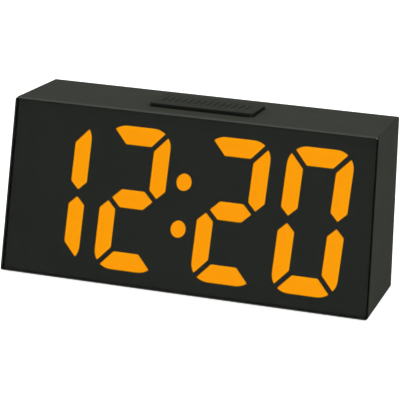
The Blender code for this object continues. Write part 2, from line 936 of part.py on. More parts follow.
def make_display():
    """The front glass is black but for its segments, and the rear glass fills these with light."""
    half = aperture_width / 2 - clearance
    low = aperture_rim_low + clearance
    high = front_length - aperture_rim_high - clearance
    plate(
        "lcd_front_glass",
        [rectangle((-half, half), (low, high)), *lit_outlines(segment_clearance)],
        glass_thickness,
        (0, mask_front + glass_thickness / 2, 0),
        "front",
        MASK_GLASS,
        FRONT_PLANE,
    )
    upwards = (low + contact_ledge, high)
    across = (-half, half)
    rear = front_block("lcd_rear_glass", across, segment_front, glass_thickness, upwards, AMBER_SEGMENTS)
    near = mask_front + segment_recess
    far = segment_front + bite
    at = (0, (near + far) / 2, 0)
    join(rear, plate("segments", lit_outlines(0), far - near, at, "front", parent=FRONT_PLANE))


def tray_spans():
    """The tray's outer width and its lower and upper edge."""
    half = half_width(case_height) - wall - tray_margin_x
    return (-half, half), (tray_rim_low, front_length - tray_rim_high)


def inset(span, amount):
    return span[0] + amount, span[1] - amount


def board_screw_spots():
    """Places of the board's four screws in the front plane, across and up."""
    reach = board_width / 2 - board_screw_inset
    low = board_low + board_screw_inset
    high = board_low + board_height - board_screw_inset
    return [(x, z) for x in (-reach, reach) for z in (low, high)]


def make_backlight():
    """A tray behind the glasses holds the diffuser, the light guide with its lamps and the reflector."""
    across, upwards = tray_spans()
    depth = tray_back - tray_front
    tray = front_block("display_tray", across, tray_front, depth, upwards, WHITE_ABS)
    hollow = (inset(across, tray_wall), inset(upwards, tray_wall))
    reach = tray_floor_front - tray_front + overrun
    cut(tray, front_block("tray_hollow", hollow[0], tray_front - overrun, reach, hollow[1]))
    plane = FRONT_PLANE
    for number, (x, z) in enumerate(board_screw_spots(), 1):
        end = (x, tray_back + board_stand, z)
        boss = rod(f"tray_boss_{number}", boss_radius, -board_stand - bite, 0, end, "rear", parent=plane)
        pilot = rod(f"tray_pilot_{number}", pilot_radius, -pilot_depth, overrun, end, "rear", parent=plane)
        join(tray, boss)
        cut(tray, pilot)

    across, upwards = inset(hollow[0], clearance), inset(hollow[1], clearance)
    front_block("backlight_diffuser", across, tray_front, diffuser_thickness, upwards, DIFFUSER_FILM)
    front_block("reflector_sheet", across, reflector_front, reflector_thickness, upwards, WHITE_ABS)
    guide_across = inset(across, lamp_width + clearance)
    front_block("light_guide", guide_across, guide_front, guide_thickness, upwards, CLEAR_ACRYLIC)
    middle_z = sum(upwards) / 2
    lamp_near = guide_front + (guide_thickness - lamp_depth) / 2
    for side, name in ((-1, "left"), (1, "right")):
        outer = side * across[1]
        inner = outer - side * lamp_width
        lamp = front_block(
            f"backlight_lamp_{name}",
            (min(inner, outer), max(inner, outer)),
            lamp_near,
            lamp_depth,
            around(middle_z, lamp_height),
            LAMP_RESIN,
        )
        soften(lamp, lamp_lens_radius / 2)


def make_main_board():
    """The main board on the tray's bosses, with its chip, crystal, screws and flex connector."""
    across = around(0, board_width)
    upwards = (board_low, board_low + board_height)
    board = plate(
        "main_board",
        [
            rounded(rectangle(across, upwards), board_corner),
            *[circle(pilot_radius, 12, spot) for spot in board_screw_spots()],
        ],
        board_thickness,
        (0, board_front + board_thickness / 2, 0),
        "front",
        BOARD_LAMINATE,
        FRONT_PLANE,
    )
    shade_round(board)
    names = [f"board_screw_{number}" for number in range(1, 5)]
    places = [(x, board_back + clearance, z) for x, z in board_screw_spots()]
    make_screws(
        names,
        places,
        "rear",
        shank_radius,
        small_screw_length,
        small_head_radius,
        small_head_height,
        FRONT_PLANE,
    )

    def on_board(share_x, share_z, depth):
        return (share_x * board_width, board_back + clearance + depth, board_low + share_z * board_height)

    steps = 4
    dome = [
        (chip_radius * math.sin(angle), chip_height * math.cos(angle))
        for angle in (math.pi / 2 * step / steps for step in range(steps + 1))
    ]
    chip_at = on_board(chip_share_x, chip_share_z, 0)
    turned("clock_chip", [*dome, (0, 0)], chip_at, "rear", CHIP_RESIN, FRONT_PLANE)
    half, end = crystal_length / 2, crystal_radius - crystal_end_round
    can = [
        (0, half),
        (end, half),
        (crystal_radius, half - crystal_end_round),
        (crystal_radius, crystal_end_round - half),
        (end, -half),
        (0, -half),
    ]
    crystal_at = on_board(crystal_share_x, crystal_share_z, crystal_radius)
    turned("quartz_crystal", can, crystal_at, "right", NICKEL_STEEL, FRONT_PLANE, sides=14)
    make_flex()


def make_flex():
    """A thin connector from the ledge of the front glass, back under the tray and up the board."""
    start = segment_front + flex_thickness / 2
    end = board_front - clearance - flex_thickness / 2
    top = aperture_rim_low + clearance + contact_ledge - clearance
    run = top - flex_lap
    bend = flex_bend
    steps = 3

    def corner(centre, first, last):
        return [
            (centre[0] + bend * math.cos(angle), centre[1] + bend * math.sin(angle))
            for angle in (first + (last - first) * step / steps for step in range(steps + 1))
        ]

    line = [
        (start, top),
        *corner((start + bend, run), math.pi, 3 * math.pi / 2),
        *corner((end - bend, run), -math.pi / 2, 0),
        (end, run + flex_rise),
    ]
    strip("display_flex", line, around(0, flex_width), flex_thickness, FLEX_FILM, FRONT_PLANE)


def rounded_bar(grow):
    """The snooze bar's outline about its own centre."""
    spans = around(0, bar_width + 2 * grow), around(0, bar_depth + 2 * grow)
    return rounded(rectangle(*spans), bar_corner + grow)


def make_snooze_bar():
    """A hollow cap with a lip under each end, a stem for the switch and two for its springs."""
    height = bar_top - (lip_bottom + lip_top) / 2
    centre = (0, bar_centre_y, bar_top - height / 2)
    bar = plate("snooze_bar", [rounded_bar(0)], height, centre, "up", BLACK_ABS)
    round_rim(bar, bar_edge, 3)
    lip_depth = around(bar_centre_y, bar_depth - 2 * bar_lip_step)
    lip = block("bar_lip", around(0, bar_width + 2 * bar_lip), lip_depth, (lip_bottom, lip_top))
    join(bar, lip)
    hollow = block(
        "bar_hollow",
        around(0, bar_width - 2 * bar_wall),
        around(bar_centre_y, bar_depth - 2 * bar_wall),
        (lip_bottom - overrun, bar_top - bar_wall),
    )
    cut(bar, hollow)
    root = bar_top - bar_wall + bite
    stem = rod("bar_stem", bar_stem_radius, bar_stem_end, root, (0, bar_centre_y, 0), "up")
    join(bar, stem)
    for side in (-1, 1):
        place = (side * spring_offset, bar_centre_y, 0)
        end = lip_bottom + spring_stem_rise
        join(bar, rod(f"spring_stem_{side}", spring_stem_radius, end, root, place, "up"))
    for i in range(rib_count):
        x = (i - (rib_count - 1) / 2) * rib_pitch
        rib = block(
            f"tactile_rib_{i}",
            around(x, rib_width),
            around(bar_centre_y, rib_length),
            (bar_top - bite, bar_top + rib_height),
        )
        join(bar, rib)


def make_snooze_works():
    """Under the bar: a small board on two bosses, a push switch and two return springs."""
    board = plate(
        "snooze_board",
        [
            rounded(rectangle(around(0, snooze_board_width), around(0, snooze_board_depth)), board_corner),
            circle(pilot_radius, 12, (-snooze_boss_offset, 0)),
            circle(pilot_radius, 12, (snooze_boss_offset, 0)),
        ],
        board_thickness,
        (0, bar_centre_y, snooze_board_top - board_thickness / 2),
        "up",
        BOARD_LAMINATE,
    )
    shade_round(board)
    make_push_switch("snooze", (0, bar_centre_y, snooze_switch_bottom), "up", bar_travel)
    head = snooze_board_bottom - clearance
    names = ["snooze_board_screw_left", "snooze_board_screw_right"]
    places = [(side * snooze_boss_offset, bar_centre_y, head) for side in (-1, 1)]
    make_screws(
        names,
        places,
        "down",
        shank_radius,
        small_screw_length,
        small_head_radius,
        small_head_height,
    )
    base = snooze_board_top + clearance
    length = lip_bottom + spring_stem_rise - clearance - base
    for side, name in ((-1, "left"), (1, "right")):
        coil(
            f"snooze_spring_{name}",
            (side * spring_offset, bar_centre_y, base),
            "up",
            length,
            spring_radius - spring_wire / 2,
            spring_radius - spring_wire / 2,
            spring_turns,
            spring_wire,
            NICKEL_STEEL,
        )


def make_push_switch(name, base, facing, travel):
    """A push switch that stands on its board at base, and its plunger in its well."""
    outline = rounded(rectangle(around(0, switch_side), around(0, switch_side)), clearance, 1)
    direction = Euler(FACING[facing]).to_matrix() @ Vector((0, 0, 1))
    middle = Vector(base) + direction * switch_height / 2
    body = plate(f"{name}_switch", [outline], switch_height, middle, facing, DARK_NYLON)
    well_radius = plunger_radius + clearance
    well = rod(f"{name}_well", well_radius, switch_base, switch_height + overrun, base, facing, sides=16)
    cut(body, well)
    low = switch_base + plunger_spare + travel
    high = switch_height + travel + plunger_proud
    edge = clearance
    profile = [
        (0, high),
        (plunger_radius - edge, high),
        (plunger_radius, high - edge),
        (plunger_radius, low),
        (0, low),
    ]
    turned(f"{name}_plunger", profile, base, facing, PLUNGER_PLASTIC, sides=16)


def cover_outline():
    """The rear opening of the case, less the clearance."""
    low = wall + clearance
    high = case_height - wall - clearance
    low_half = half_width(low) - wall - clearance
    high_half = half_width(high) - wall - clearance
    corners = [
        (-low_half, case_bottom + low),
        (low_half, case_bottom + low),
        (high_half, case_bottom + high),
        (-high_half, case_bottom + high),
    ]
    return rounded(corners, cover_corner)


def grille_holes():
    """Holes on a triangular grid within a hexagon."""
    holes = []
    for row in range(-grille_rings, grille_rings + 1):
        count = 2 * grille_rings + 1 - abs(row)
        for i in range(count):
            x = (i - (count - 1) / 2) * grille_pitch
            z = row * grille_pitch * math.sqrt(3) / 2
            holes.append(circle(grille_hole_radius, 10, (x, z)))
    return holes


def button_x(number):
    return first_button_x + number * button_pitch


def stake_places():
    reach = control_board_width / 2 - stake_inset
    return [strip_centre_x - reach, strip_centre_x + reach]


def add_stakes(cover):
    """Two moulded pins carry the control board, their ends melted into heads."""
    seat = control_board_rear + clearance
    head = control_board_front - clearance
    profile = [
        (0, strip_inner + bite),
        (stake_radius, strip_inner + bite),
        (stake_radius, seat),
        (stake_pin_radius, seat),
        (stake_pin_radius, head),
        (stake_head_radius, head),
        (stake_head_radius, head - stake_head_height),
        (0, head - stake_head_height),
    ]
    for number, x in enumerate(stake_places(), 1):
        join(cover, turned(f"stake_{number}", profile, (x, 0, strip_centre_z), "rear", sides=14))


def add_bay(cover):
    """The battery bay: a box moulded on the cover, open to the rear, with a rebate for its door."""
    outer_width = bay_width + 2 * bay_wall
    outer_height = bay_height + 2 * bay_wall
    across = around(bay_centre_x, outer_width)
    upwards = around(bay_centre_z, outer_height)
    join(cover, block("bay_box", across, (bay_floor - bay_wall, cover_inner + bite), upwards))
    rebate_floor = door_inner - clearance
    grow = 2 * clearance
    rebate = plate(
        "bay_rebate",
        [rounded(door_rectangle(grow), door_corner + clearance)],
        rear_face + overrun - rebate_floor,
        (bay_centre_x, (rear_face + overrun + rebate_floor) / 2, bay_centre_z),
        "front",
    )
    hollow = block(
        "bay_hollow",
        around(bay_centre_x, bay_width),
        (bay_floor, rear_face + overrun),
        around(bay_centre_z, bay_height),
    )
    top = door_low + door_height
    notch = block(
        "finger_notch",
        around(bay_centre_x, lip_width + 2 * notch_side),
        (rear_face - lip_thickness - notch_floor, rear_face + overrun),
        (top, top + lip_rise + notch_rise),
    )
    cut(cover, rebate, hollow, notch)
    bay_low = bay_centre_z - bay_height / 2
    for side in (-1, 1):
        x = around(bay_centre_x + side * hook_offset, hook_width + 2 * clearance)
        inner = rear_face - hook_far - hook_room
        behind = (inner, rear_face - hook_near + clearance)
        cut(cover, block(f"hook_slot_{side}", x, behind, (door_low - hook_drop - bite, bay_low + overrun)))
        cut(cover, block(f"arm_slot_{side}", x, (inner, rear_face), (door_low, bay_low + overrun)))
        place = (bay_left, cell_y, bay_centre_z + side * cell_rise)
        reach = bay_wall + overrun
        cut(cover, rod(f"lead_hole_{side}", lead_hole_radius, -overrun, reach, place, "left", sides=12))


def door_rectangle(grow=0.0):
    return rectangle(around(0, door_width + grow), around(0, door_height + grow))


def make_rear_cover():
    """A plate set into the rear of the case, with the battery bay and the control strip."""
    at = (0, rear_face - cover_thickness / 2, 0)
    cover = plate("rear_cover", [cover_outline()], cover_thickness, at, "front", BLACK_ABS)
    backing = block(
        "strip_backing",
        around(strip_centre_x, strip_width + 2 * strip_rim),
        (strip_inner, cover_inner + bite),
        around(strip_centre_z, strip_height + 2 * strip_rim),
    )
    ring_at = (buzzer_x, cover_inner, buzzer_z)
    ring = rod("buzzer_ring", ring_radius, -ring_height, bite, ring_at, "rear", sides=28)
    join(cover, backing, ring)
    add_stakes(cover)
    ring_inner = ring_radius - ring_wall
    reach = -ring_height - overrun
    cut(cover, rod("ring_hollow", ring_inner, reach, ring_relief, ring_at, "rear", sides=28))
    recess = plate(
        "strip_recess",
        [rounded(rectangle(around(0, strip_width), around(0, strip_height)), strip_corner)],
        strip_depth + overrun,
        (strip_centre_x, strip_floor + (strip_depth + overrun) / 2, strip_centre_z),
        "front",
    )
    holes = [circle(button_radius + clearance, 20, (button_x(i), 0)) for i in range(len(button_names))]
    slot_width = slider_grip_width + slider_travel + 2 * clearance
    slot = rectangle(around(slider_x, slot_width), around(0, slider_grip_height + 2 * clearance))
    ways = plate(
        "strip_holes",
        [*holes, slot],
        2 * (strip_wall + strip_depth),
        (0, strip_floor, strip_centre_z),
        "front",
    )
    grille = plate(
        "grille_holes",
        grille_holes(),
        2 * (cover_thickness + overrun),
        (buzzer_x, rear_face, buzzer_z),
        "front",
    )
    cut(cover, recess, ways, grille)
    add_bay(cover)
    for number, place in enumerate(case_screw_places(rear_face), 1):
        through = rod(f"screw_hole_{number}", case_pilot_radius, -cover_thickness - overrun, 0, place, "rear")
        sink = rod(f"counterbore_{number}", counterbore_radius, -counterbore_depth, overrun, place, "rear")
        cut(cover, through, sink)


def make_case_screws():
    head = rear_face - counterbore_depth + clearance
    names = [f"case_screw_{number}" for number in range(1, 5)]
    make_screws(
        names,
        case_screw_places(head),
        "rear",
        case_shank_radius,
        case_screw_length,
        case_head_radius,
        case_head_height - clearance / 2,
    )


def make_controls():
    """Three buttons and a slide switch, with the board behind them."""
    stakes = [circle(stake_pin_radius + clearance, 12, (x - strip_centre_x, 0)) for x in stake_places()]
    edge = rounded(
        rectangle(around(0, control_board_width), around(0, control_board_height)), board_corner
    )
    middle_y = (control_board_front + control_board_rear) / 2
    plate(
        "control_board",
        [edge, *stakes],
        board_thickness,
        (strip_centre_x, middle_y, strip_centre_z),
        "front",
        BOARD_LAMINATE,
    )
    top = rear_face - button_recess - button_lip_inner
    lip = button_lip
    cap = [
        (0, top),
        (button_radius - button_edge, top),
        (button_radius, top - button_edge),
        (button_radius, lip),
        (button_lip_radius, lip),
        (button_lip_radius, 0),
        (0, 0),
    ]
    for number, name in enumerate(button_names):
        x = button_x(number)
        turned(f"{name}_button", cap, (x, button_lip_inner, strip_centre_z), "rear", PLUNGER_PLASTIC)
        make_push_switch(name, (x, switch_bottom_y, strip_centre_z), "rear", button_travel)
    make_slide_switch()


def make_slide_switch():
    """The knob's plate stays behind its slot, and its stem works in the switch body."""
    rest_x = slider_x - slider_travel / 2
    z = strip_centre_z
    knob = block(
        "alarm_switch_knob",
        around(rest_x, slider_plate_width),
        (button_lip_outer - slider_plate_thickness, button_lip_outer),
        around(z, slider_plate_height),
        DARK_NYLON,
    )
    grip = block(
        "slider_grip",
        around(rest_x, slider_grip_width),
        (button_lip_outer - bite, rear_face - button_recess),
        around(z, slider_grip_height),
    )
    soften(grip, button_edge)
    well_floor = switch_bottom_y + switch_base
    stem = block(
        "slider_stem",
        around(rest_x, slider_stem_width),
        (well_floor + clearance, button_lip_outer - bite),
        around(z, slider_stem_height),
    )
    join(knob, grip, stem)
    body = block(
        "alarm_switch_body",
        around(slider_x, slider_body_width),
        (switch_bottom_y, switch_top_y),
        around(z, slider_body_height),
        NICKEL_STEEL,
    )
    well = block(
        "slider_well",
        around(slider_x, slider_stem_width + slider_travel + 2 * clearance),
        (well_floor, switch_top_y + overrun),
        around(z, slider_stem_height + 2 * clearance),
    )
    cut(body, well)


def make_buzzer():
    """A brass disc on the cover's ring, with the ceramic that bends it."""
    ring_end = cover_inner - ring_height
    disc_face = ring_end - clearance - buzzer_thickness
    place = (buzzer_x, disc_face, buzzer_z)
    rod("buzzer_disc", buzzer_radius, 0, buzzer_thickness, place, "rear", BRASS, sides=28)
    ceramic_face = disc_face - clearance - ceramic_thickness
    place = (buzzer_x, ceramic_face, buzzer_z)
    rod("buzzer_ceramic", ceramic_radius, 0, ceramic_thickness, place, "rear", CERAMIC, sides=24)


def make_cells():
    """Two cells side by side, head to tail."""
    can_length = cell_length - cell_nub_height
    profile = [
        (0, cell_length),
        (cell_nub_radius, cell_length),
        (cell_nub_radius, can_length),
        (cell_radius - cell_edge, can_length),
        (cell_radius, can_length - cell_edge),
        (cell_radius, cell_edge),
        (cell_radius - cell_edge, 0),
        (0, 0),
    ]
    lower = (bay_left + plate_room + cell_length, cell_y, bay_centre_z - cell_rise)
    upper = (bay_right - plate_room - cell_length, cell_y, bay_centre_z + cell_rise)
    for name, place, facing in (("lower", lower, "left"), ("upper", upper, "right")):
        cell = turned(f"battery_{name}", profile, place, facing, CELL_JACKET, sides=24)
        shade_round(cell)


def make_contacts():
    """A plate and a spring for the leads at the left, and a plate with a spring that bridge the cells."""
    lower, upper = bay_centre_z - cell_rise, bay_centre_z + cell_rise
    left = (bay_left + clearance, bay_left + clearance + contact_thickness)
    right = (bay_right - clearance - contact_thickness, bay_right - clearance)
    inwards = around(cell_y, contact_side)
    block("positive_contact", left, inwards, around(lower, contact_side), NICKEL_STEEL)
    bridge = (lower - contact_side / 2, upper + contact_side / 2)
    block("bridge_plate", right, inwards, bridge, NICKEL_STEEL)
    shape = (cell_spring_wide, cell_spring_narrow, cell_spring_turns, cell_spring_wire, NICKEL_STEEL)
    bridge_base = (right[0] - clearance, cell_y, lower)
    coil("bridge_spring", bridge_base, "left", cell_spring_length, *shape)
    negative_base = (bay_left + clearance, cell_y, upper)
    negative_length = cell_spring_length + plate_room - clearance
    coil("negative_spring", negative_base, "right", negative_length, *shape)


def make_door():
    """The battery door hangs on two hooks at its lower edge and opens by a lip at its upper edge."""
    hinge = empty("door_hinge", (bay_centre_x, rear_face, door_low))
    door = plate(
        "battery_door",
        [rounded(door_rectangle(), door_corner)],
        door_thickness,
        (0, -door_thickness / 2, door_height / 2),
        "front",
        BLACK_ABS,
        hinge,
    )
    for side in (-1, 1):
        x = around(side * hook_offset, hook_width)
        arm = block(
            f"hook_arm_{side}",
            x,
            (-hook_far, bite - door_thickness),
            (hook_low, hook_rise),
            parent=hinge,
        )
        nose = block(
            f"hook_nose_{side}",
            x,
            (-hook_far, -hook_near),
            (-hook_drop, hook_low + bite),
            parent=hinge,
        )
        join(door, arm, nose)
    lip = block(
        "door_lip",
        around(0, lip_width),
        (-lip_thickness, 0),
        (door_height - bite, door_height + lip_rise),
        parent=hinge,
    )
    join(door, lip)


def make_leads():
    """The battery leads, the lead to the snooze board and the ribbon to the control board."""
    bay_side = bay_left - bay_wall
    board_x = lead_end_inset - board_width / 2
    end_gap = board_back + clearance
    ends = (
        ("battery_lead_red", bay_centre_z - cell_rise, 0.4, RED_SLEEVE),
        ("battery_lead_black", bay_centre_z + cell_rise, 0.74, BLACK_SLEEVE),
    )
    for name, z, height_share, material in ends:
        up_slope = board_low + height_share * board_height
        end = front_point(board_x, end_gap, up_slope)
        before_end = front_point(board_x, end_gap + lead_bow, up_slope)
        route = [
            (bay_left, cell_y, z),
            (bay_side, cell_y, z),
            (bay_side - lead_bow / 2, cell_y - lead_bow / 2, z),
            (bay_side - lead_bow / 2, bay_floor - bay_wall, z),
            before_end,
            end,
        ]
        tube(name, smooth_route(route, 3), lead_radius, material, resolution=1)

    up_slope = board_low + board_height - lead_end_inset
    end = front_point(snooze_lead_x, end_gap, up_slope)
    before_end = front_point(snooze_lead_x, end_gap + lead_bow, up_slope)
    start = Vector((snooze_lead_x, bar_centre_y, snooze_board_bottom - clearance))
    route = [start, start - Vector((0, 0, lead_bow)), before_end, end]
    tube("snooze_lead", smooth_route(route, 4), lead_radius, GREY_SLEEVE, resolution=1)

    end = front_point(ribbon_x, end_gap, up_slope)
    before_end = front_point(ribbon_x, end_gap + lead_bow, up_slope)
    start_y, start_z = control_board_front - clearance, strip_centre_z
    route = [
        (start_y, start_z),
        (start_y - lead_bow, start_z),
        (before_end.y, before_end.z),
        (end.y, end.z),
    ]
    line = [tuple(point) for point in smooth_route([(0, y, z) for y, z in route], 4)]
    line = [(y, z) for _, y, z in line]
    strip("control_ribbon", line, around(ribbon_x, ribbon_width), ribbon_thickness, GREY_SLEEVE)


make_window()
make_front_case()
make_feet()
make_display()
make_backlight()
make_main_board()
make_snooze_bar()
make_snooze_works()
make_rear_cover()
make_case_screws()
make_controls()
make_buzzer()
make_cells()
make_contacts()
make_door()
make_leads()
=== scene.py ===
# %% [markdown]
# A digital alarm clock, dressed for its picture.
# The real one is a low wedge of black moulded plastic. A smoked acrylic window covers its whole front, four
# large amber digits shine through it, and a wide flat bar on top silences the alarm.
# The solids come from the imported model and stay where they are. Each cell below adds one thing: a helper, a
# finish or a piece that shows more than its solid does.

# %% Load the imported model
import math

import bmesh
import bpy
from mathutils import Matrix, Vector


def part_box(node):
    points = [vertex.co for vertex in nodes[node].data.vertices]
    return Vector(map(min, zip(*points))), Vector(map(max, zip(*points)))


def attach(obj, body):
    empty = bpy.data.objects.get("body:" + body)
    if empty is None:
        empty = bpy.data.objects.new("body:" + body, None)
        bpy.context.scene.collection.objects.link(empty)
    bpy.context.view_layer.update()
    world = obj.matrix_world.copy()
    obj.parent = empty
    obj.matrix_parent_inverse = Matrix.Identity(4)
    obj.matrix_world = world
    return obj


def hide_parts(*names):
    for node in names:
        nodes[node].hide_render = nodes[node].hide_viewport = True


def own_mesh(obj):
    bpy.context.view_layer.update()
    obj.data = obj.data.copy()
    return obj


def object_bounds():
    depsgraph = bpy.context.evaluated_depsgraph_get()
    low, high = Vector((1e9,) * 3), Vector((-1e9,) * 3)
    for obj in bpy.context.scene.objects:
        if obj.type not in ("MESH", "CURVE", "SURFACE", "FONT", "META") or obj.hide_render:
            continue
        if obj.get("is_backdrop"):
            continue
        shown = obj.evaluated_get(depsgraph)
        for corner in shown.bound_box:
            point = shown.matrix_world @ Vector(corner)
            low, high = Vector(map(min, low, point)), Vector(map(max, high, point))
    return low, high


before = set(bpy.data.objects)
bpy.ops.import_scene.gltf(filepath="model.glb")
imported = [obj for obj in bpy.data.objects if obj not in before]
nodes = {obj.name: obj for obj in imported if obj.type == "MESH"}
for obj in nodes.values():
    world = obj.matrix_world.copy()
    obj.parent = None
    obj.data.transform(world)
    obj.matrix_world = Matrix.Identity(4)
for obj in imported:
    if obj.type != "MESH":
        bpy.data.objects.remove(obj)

cad_box = [list(corner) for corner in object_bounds()]
mm = 0.001
scene = bpy.context.scene
size = [(high - low) / mm for low, high in zip(*cad_box)]
print("solids:", len(nodes), "pieces, measuring", [round(side, 1) for side in size], "mm")

# %% [markdown]
# The camera stands where the photographer stood: a little to the right of the front and a little above it,
# tilted by a few degrees. It could be placed by eye, but the edges of the case and the centres of the lit
# segments were matched to a perspective view, and that gave these numbers. The lens is long, so the upright
# edges stay nearly parallel.

# %% Camera
def look(azimuth, elevation, roll, distance, target):
    """The place and turn of a camera that looks at a target from an azimuth and an elevation in degrees."""
    azimuth, elevation, roll = (math.radians(angle) for angle in (azimuth, elevation, roll))
    back = Vector((
        math.sin(azimuth) * math.cos(elevation),
        -math.cos(azimuth) * math.cos(elevation),
        math.sin(elevation),
    ))
    across = (-back).cross(Vector((0, 0, 1))).normalized()
    up = across.cross(-back)
    rolled_across = math.cos(roll) * across + math.sin(roll) * up
    rolled_up = math.cos(roll) * up - math.sin(roll) * across
    turn = Matrix((rolled_across, rolled_up, back)).transposed().to_4x4()
    return Matrix.Translation(Vector(target) + back * distance) @ turn


def put(name, data):
    """A new object with this data, linked into the scene."""
    item = bpy.data.objects.new(name, data)
    scene.collection.objects.link(item)
    return item


lens = bpy.data.cameras.new("camera")
lens.lens = 165.56
lens.sensor_width = 36
lens.clip_start = 0.05
lens.clip_end = 60
camera = put("camera", lens)
camera.matrix_world = look(15.671, 14.376, roll=3.186, distance=0.7310, target=(0.00038, -0.0025, 0.03364))
scene.camera = camera
print("camera stands at", [round(c, 3) for c in camera.matrix_world.translation], "m")

# %% [markdown]
# Every finish below is a small graph of shader nodes. Three helpers keep these graphs readable. One turns a
# colour as a picture shows it (sRGB, in hex) into the linear number that light is reckoned in. One links a
# node to a socket. The last adds a node, sets its options and sockets, and links what it is given.

# %% Helpers for finishes
def colour(code):
    """An sRGB hex colour as linear red, green, blue and alpha."""
    parts = [int(code[i:i + 2], 16) / 255 for i in (0, 2, 4)]
    return (*[p / 12.92 if p <= 0.04045 else ((p + 0.055) / 1.055) ** 2.4 for p in parts], 1)


def link(tree, source, socket):
    """Links an output, or the first live output of a node, to a socket."""
    if isinstance(source, bpy.types.Node):
        source = next(output for output in source.outputs if output.enabled)
    tree.links.new(source, socket)


def add_node(tree, kind, *given):
    """Adds a node. Numbers and names with a capital set or link its sockets, other names its options."""
    node = tree.nodes.new(kind)
    for name, value in [pair for part in given for pair in part.items()]:
        if isinstance(name, str) and name[0].islower():
            setattr(node, name, value)
        elif isinstance(value, (bpy.types.Node, bpy.types.NodeSocket)):
            link(tree, value, node.inputs[name])
        else:
            node.inputs[name].default_value = value
    return node


def start_finish(name, sockets):
    """A new material whose shader has these sockets set. Gives the material, its tree and its shader."""
    material = bpy.data.materials.new(name)
    material.use_nodes = True
    tree = material.node_tree
    shader = tree.nodes["Principled BSDF"]
    for socket, value in sockets.items():
        shader.inputs[socket].default_value = value
    return material, tree, shader


print("black ABS in linear light:", [round(c, 4) for c in colour("343730")[:3]])

# %% [markdown]
# No moulding, sheet or plating is one even colour. Four effects serve nearly every finish here.
# Patches are two near shades that blend over some millimetres, as resin and plating do.
# Relief is the small roughness that a tool leaves: spark-eroded grain, drawing lines or fine scratches. It
# is only bent light, a bump, because it is finer than any mesh should be.
# Gloss drifts, because fingers and dust dull a surface unevenly.
# Edges change tone too. On smooth plastic and plating, handling rubs pale marks there, which is wear. On
# grained plastic the edges are painted darker instead: painted shade, as rounded edges turn towards darker
# surroundings. The Bevel node finds edges: near one, its rounded normal leans away from the true normal.

# %% Effects that finishes share
unstretched = (1, 1, 1)


def place_on(tree, stretch=unstretched):
    """Where a point is on its piece, in metres, stretched for lines that run one way."""
    place = add_node(tree, "ShaderNodeTexCoord").outputs["Object"]
    if stretch == unstretched:
        return place
    return add_node(tree, "ShaderNodeMapping", {"Scale": stretch}, {"Vector": place})


def patches(tree, shader, first, second, width, stretch=unstretched):
    """Blends two near shades over patches of about a width."""
    noise = {"Scale": 1 / width, "Detail": 4.0}
    cloud = add_node(tree, "ShaderNodeTexNoise", noise, {"Vector": place_on(tree, stretch)})
    share = add_node(tree, "ShaderNodeMapRange", {"From Min": 0.32, "From Max": 0.68}, {"Value": cloud})
    shades = {"data_type": "RGBA", 6: colour(first), 7: colour(second)}
    shade = add_node(tree, "ShaderNodeMix", shades, {0: share})
    link(tree, shade, shader.inputs["Base Color"])
    return shade


def relief(tree, shader, width, depth, stretch=unstretched, cells=False):
    """Bends the light as bumps of a width and a depth would, soft ones or, as cells, pitted ones."""
    kind = "ShaderNodeTexVoronoi" if cells else "ShaderNodeTexNoise"
    grain = add_node(tree, kind, {"Scale": 1 / width}, {"Vector": place_on(tree, stretch)})
    bump = add_node(tree, "ShaderNodeBump", {"Strength": 1.0, "Distance": depth}, {"Height": grain})
    link(tree, bump, shader.inputs["Normal"])


def uneven_gloss(tree, shader, low, high, width):
    """Roughness that drifts between two values, as fingers and dust leave it."""
    cloud = add_node(tree, "ShaderNodeTexNoise", {"Scale": 1 / width}, {"Vector": place_on(tree)})
    span = {"From Min": 0.3, "From Max": 0.7, "To Min": low, "To Max": high}
    gloss = add_node(tree, "ShaderNodeMapRange", span, {"Value": cloud})
    link(tree, gloss, shader.inputs["Roughness"])


def tone_worn_and_shaded_edges(tree, shader, base, reach, wear_and_shade_colour, amount):
    """Blends the base colour towards an edge colour within a reach of each edge: wear and painted shade."""
    rounded_normal = add_node(tree, "ShaderNodeBevel", {"samples": 4, "Radius": reach})
    true_normal = add_node(tree, "ShaderNodeNewGeometry").outputs["Normal"]
    normals = {"operation": "DOT_PRODUCT", 0: rounded_normal, 1: true_normal}
    agree = add_node(tree, "ShaderNodeVectorMath", normals)
    span = {"From Min": 0.995, "From Max": 0.80, "To Min": 0.0, "To Max": amount}
    edge = add_node(tree, "ShaderNodeMapRange", span, {"Value": agree})
    shade = add_node(tree, "ShaderNodeMix", {"data_type": "RGBA", 7: colour(wear_and_shade_colour)}, {0: edge, 6: base})
    link(tree, shade, shader.inputs["Base Color"])


def make_finish(name, sockets, shades, edge_wear_and_shade=None, grain=None, gloss=None):
    """A finish of patches in two shades and a width, and of the other effects that are given."""
    material, tree, shader = start_finish(name, sockets)
    base = patches(tree, shader, *shades)
    if edge_wear_and_shade:
        tone_worn_and_shaded_edges(tree, shader, base, *edge_wear_and_shade)
    if grain:
        relief(tree, shader, *grain)
    if gloss:
        uneven_gloss(tree, shader, *gloss)
    return material


print("effects ready: patches, relief, uneven gloss, worn edges")

# %% [markdown]
# The case is ABS, injection moulded in a tool whose walls were spark eroded. That leaves a grain of about
# 0.15 mm, and a plastic that scatters light wide: it looks dark grey, not black, and shows no mirror image.
# The grain is drawn at 0.4 mm, because the finer one would vanish between the pixels of the picture.
# ABS has an index of refraction of 1.54. Its edges are painted darker: painted shade, as rounded edges turn
# towards darker surroundings. The top of the bar is a shade darker than the case.

# %% Grained black ABS
def grained_plastic(name, first, second):
    """Moulded ABS with a spark-eroded grain, between two near shades."""
    return make_finish(
        name, {"IOR": 1.54, "Specular IOR Level": 0.04}, (first, second, 14 * mm),
        # Its edge colour is painted shade.
        edge_wear_and_shade=(0.5 * mm, "12140f", 0.7), grain=(0.4 * mm, 0.015 * mm), gloss=(0.82, 0.88, 20 * mm),
    )


grained_abs = grained_plastic("grained_black_abs", "343730", "373a33")
# A shade darker than the case, for the top of the snooze bar and its ribs.
bar_top_abs = grained_plastic("bar_top_black_abs", "2e302b", "31332e")
print("grain:", grained_abs.name, "and, for the bar that hands press,", bar_top_abs.name)
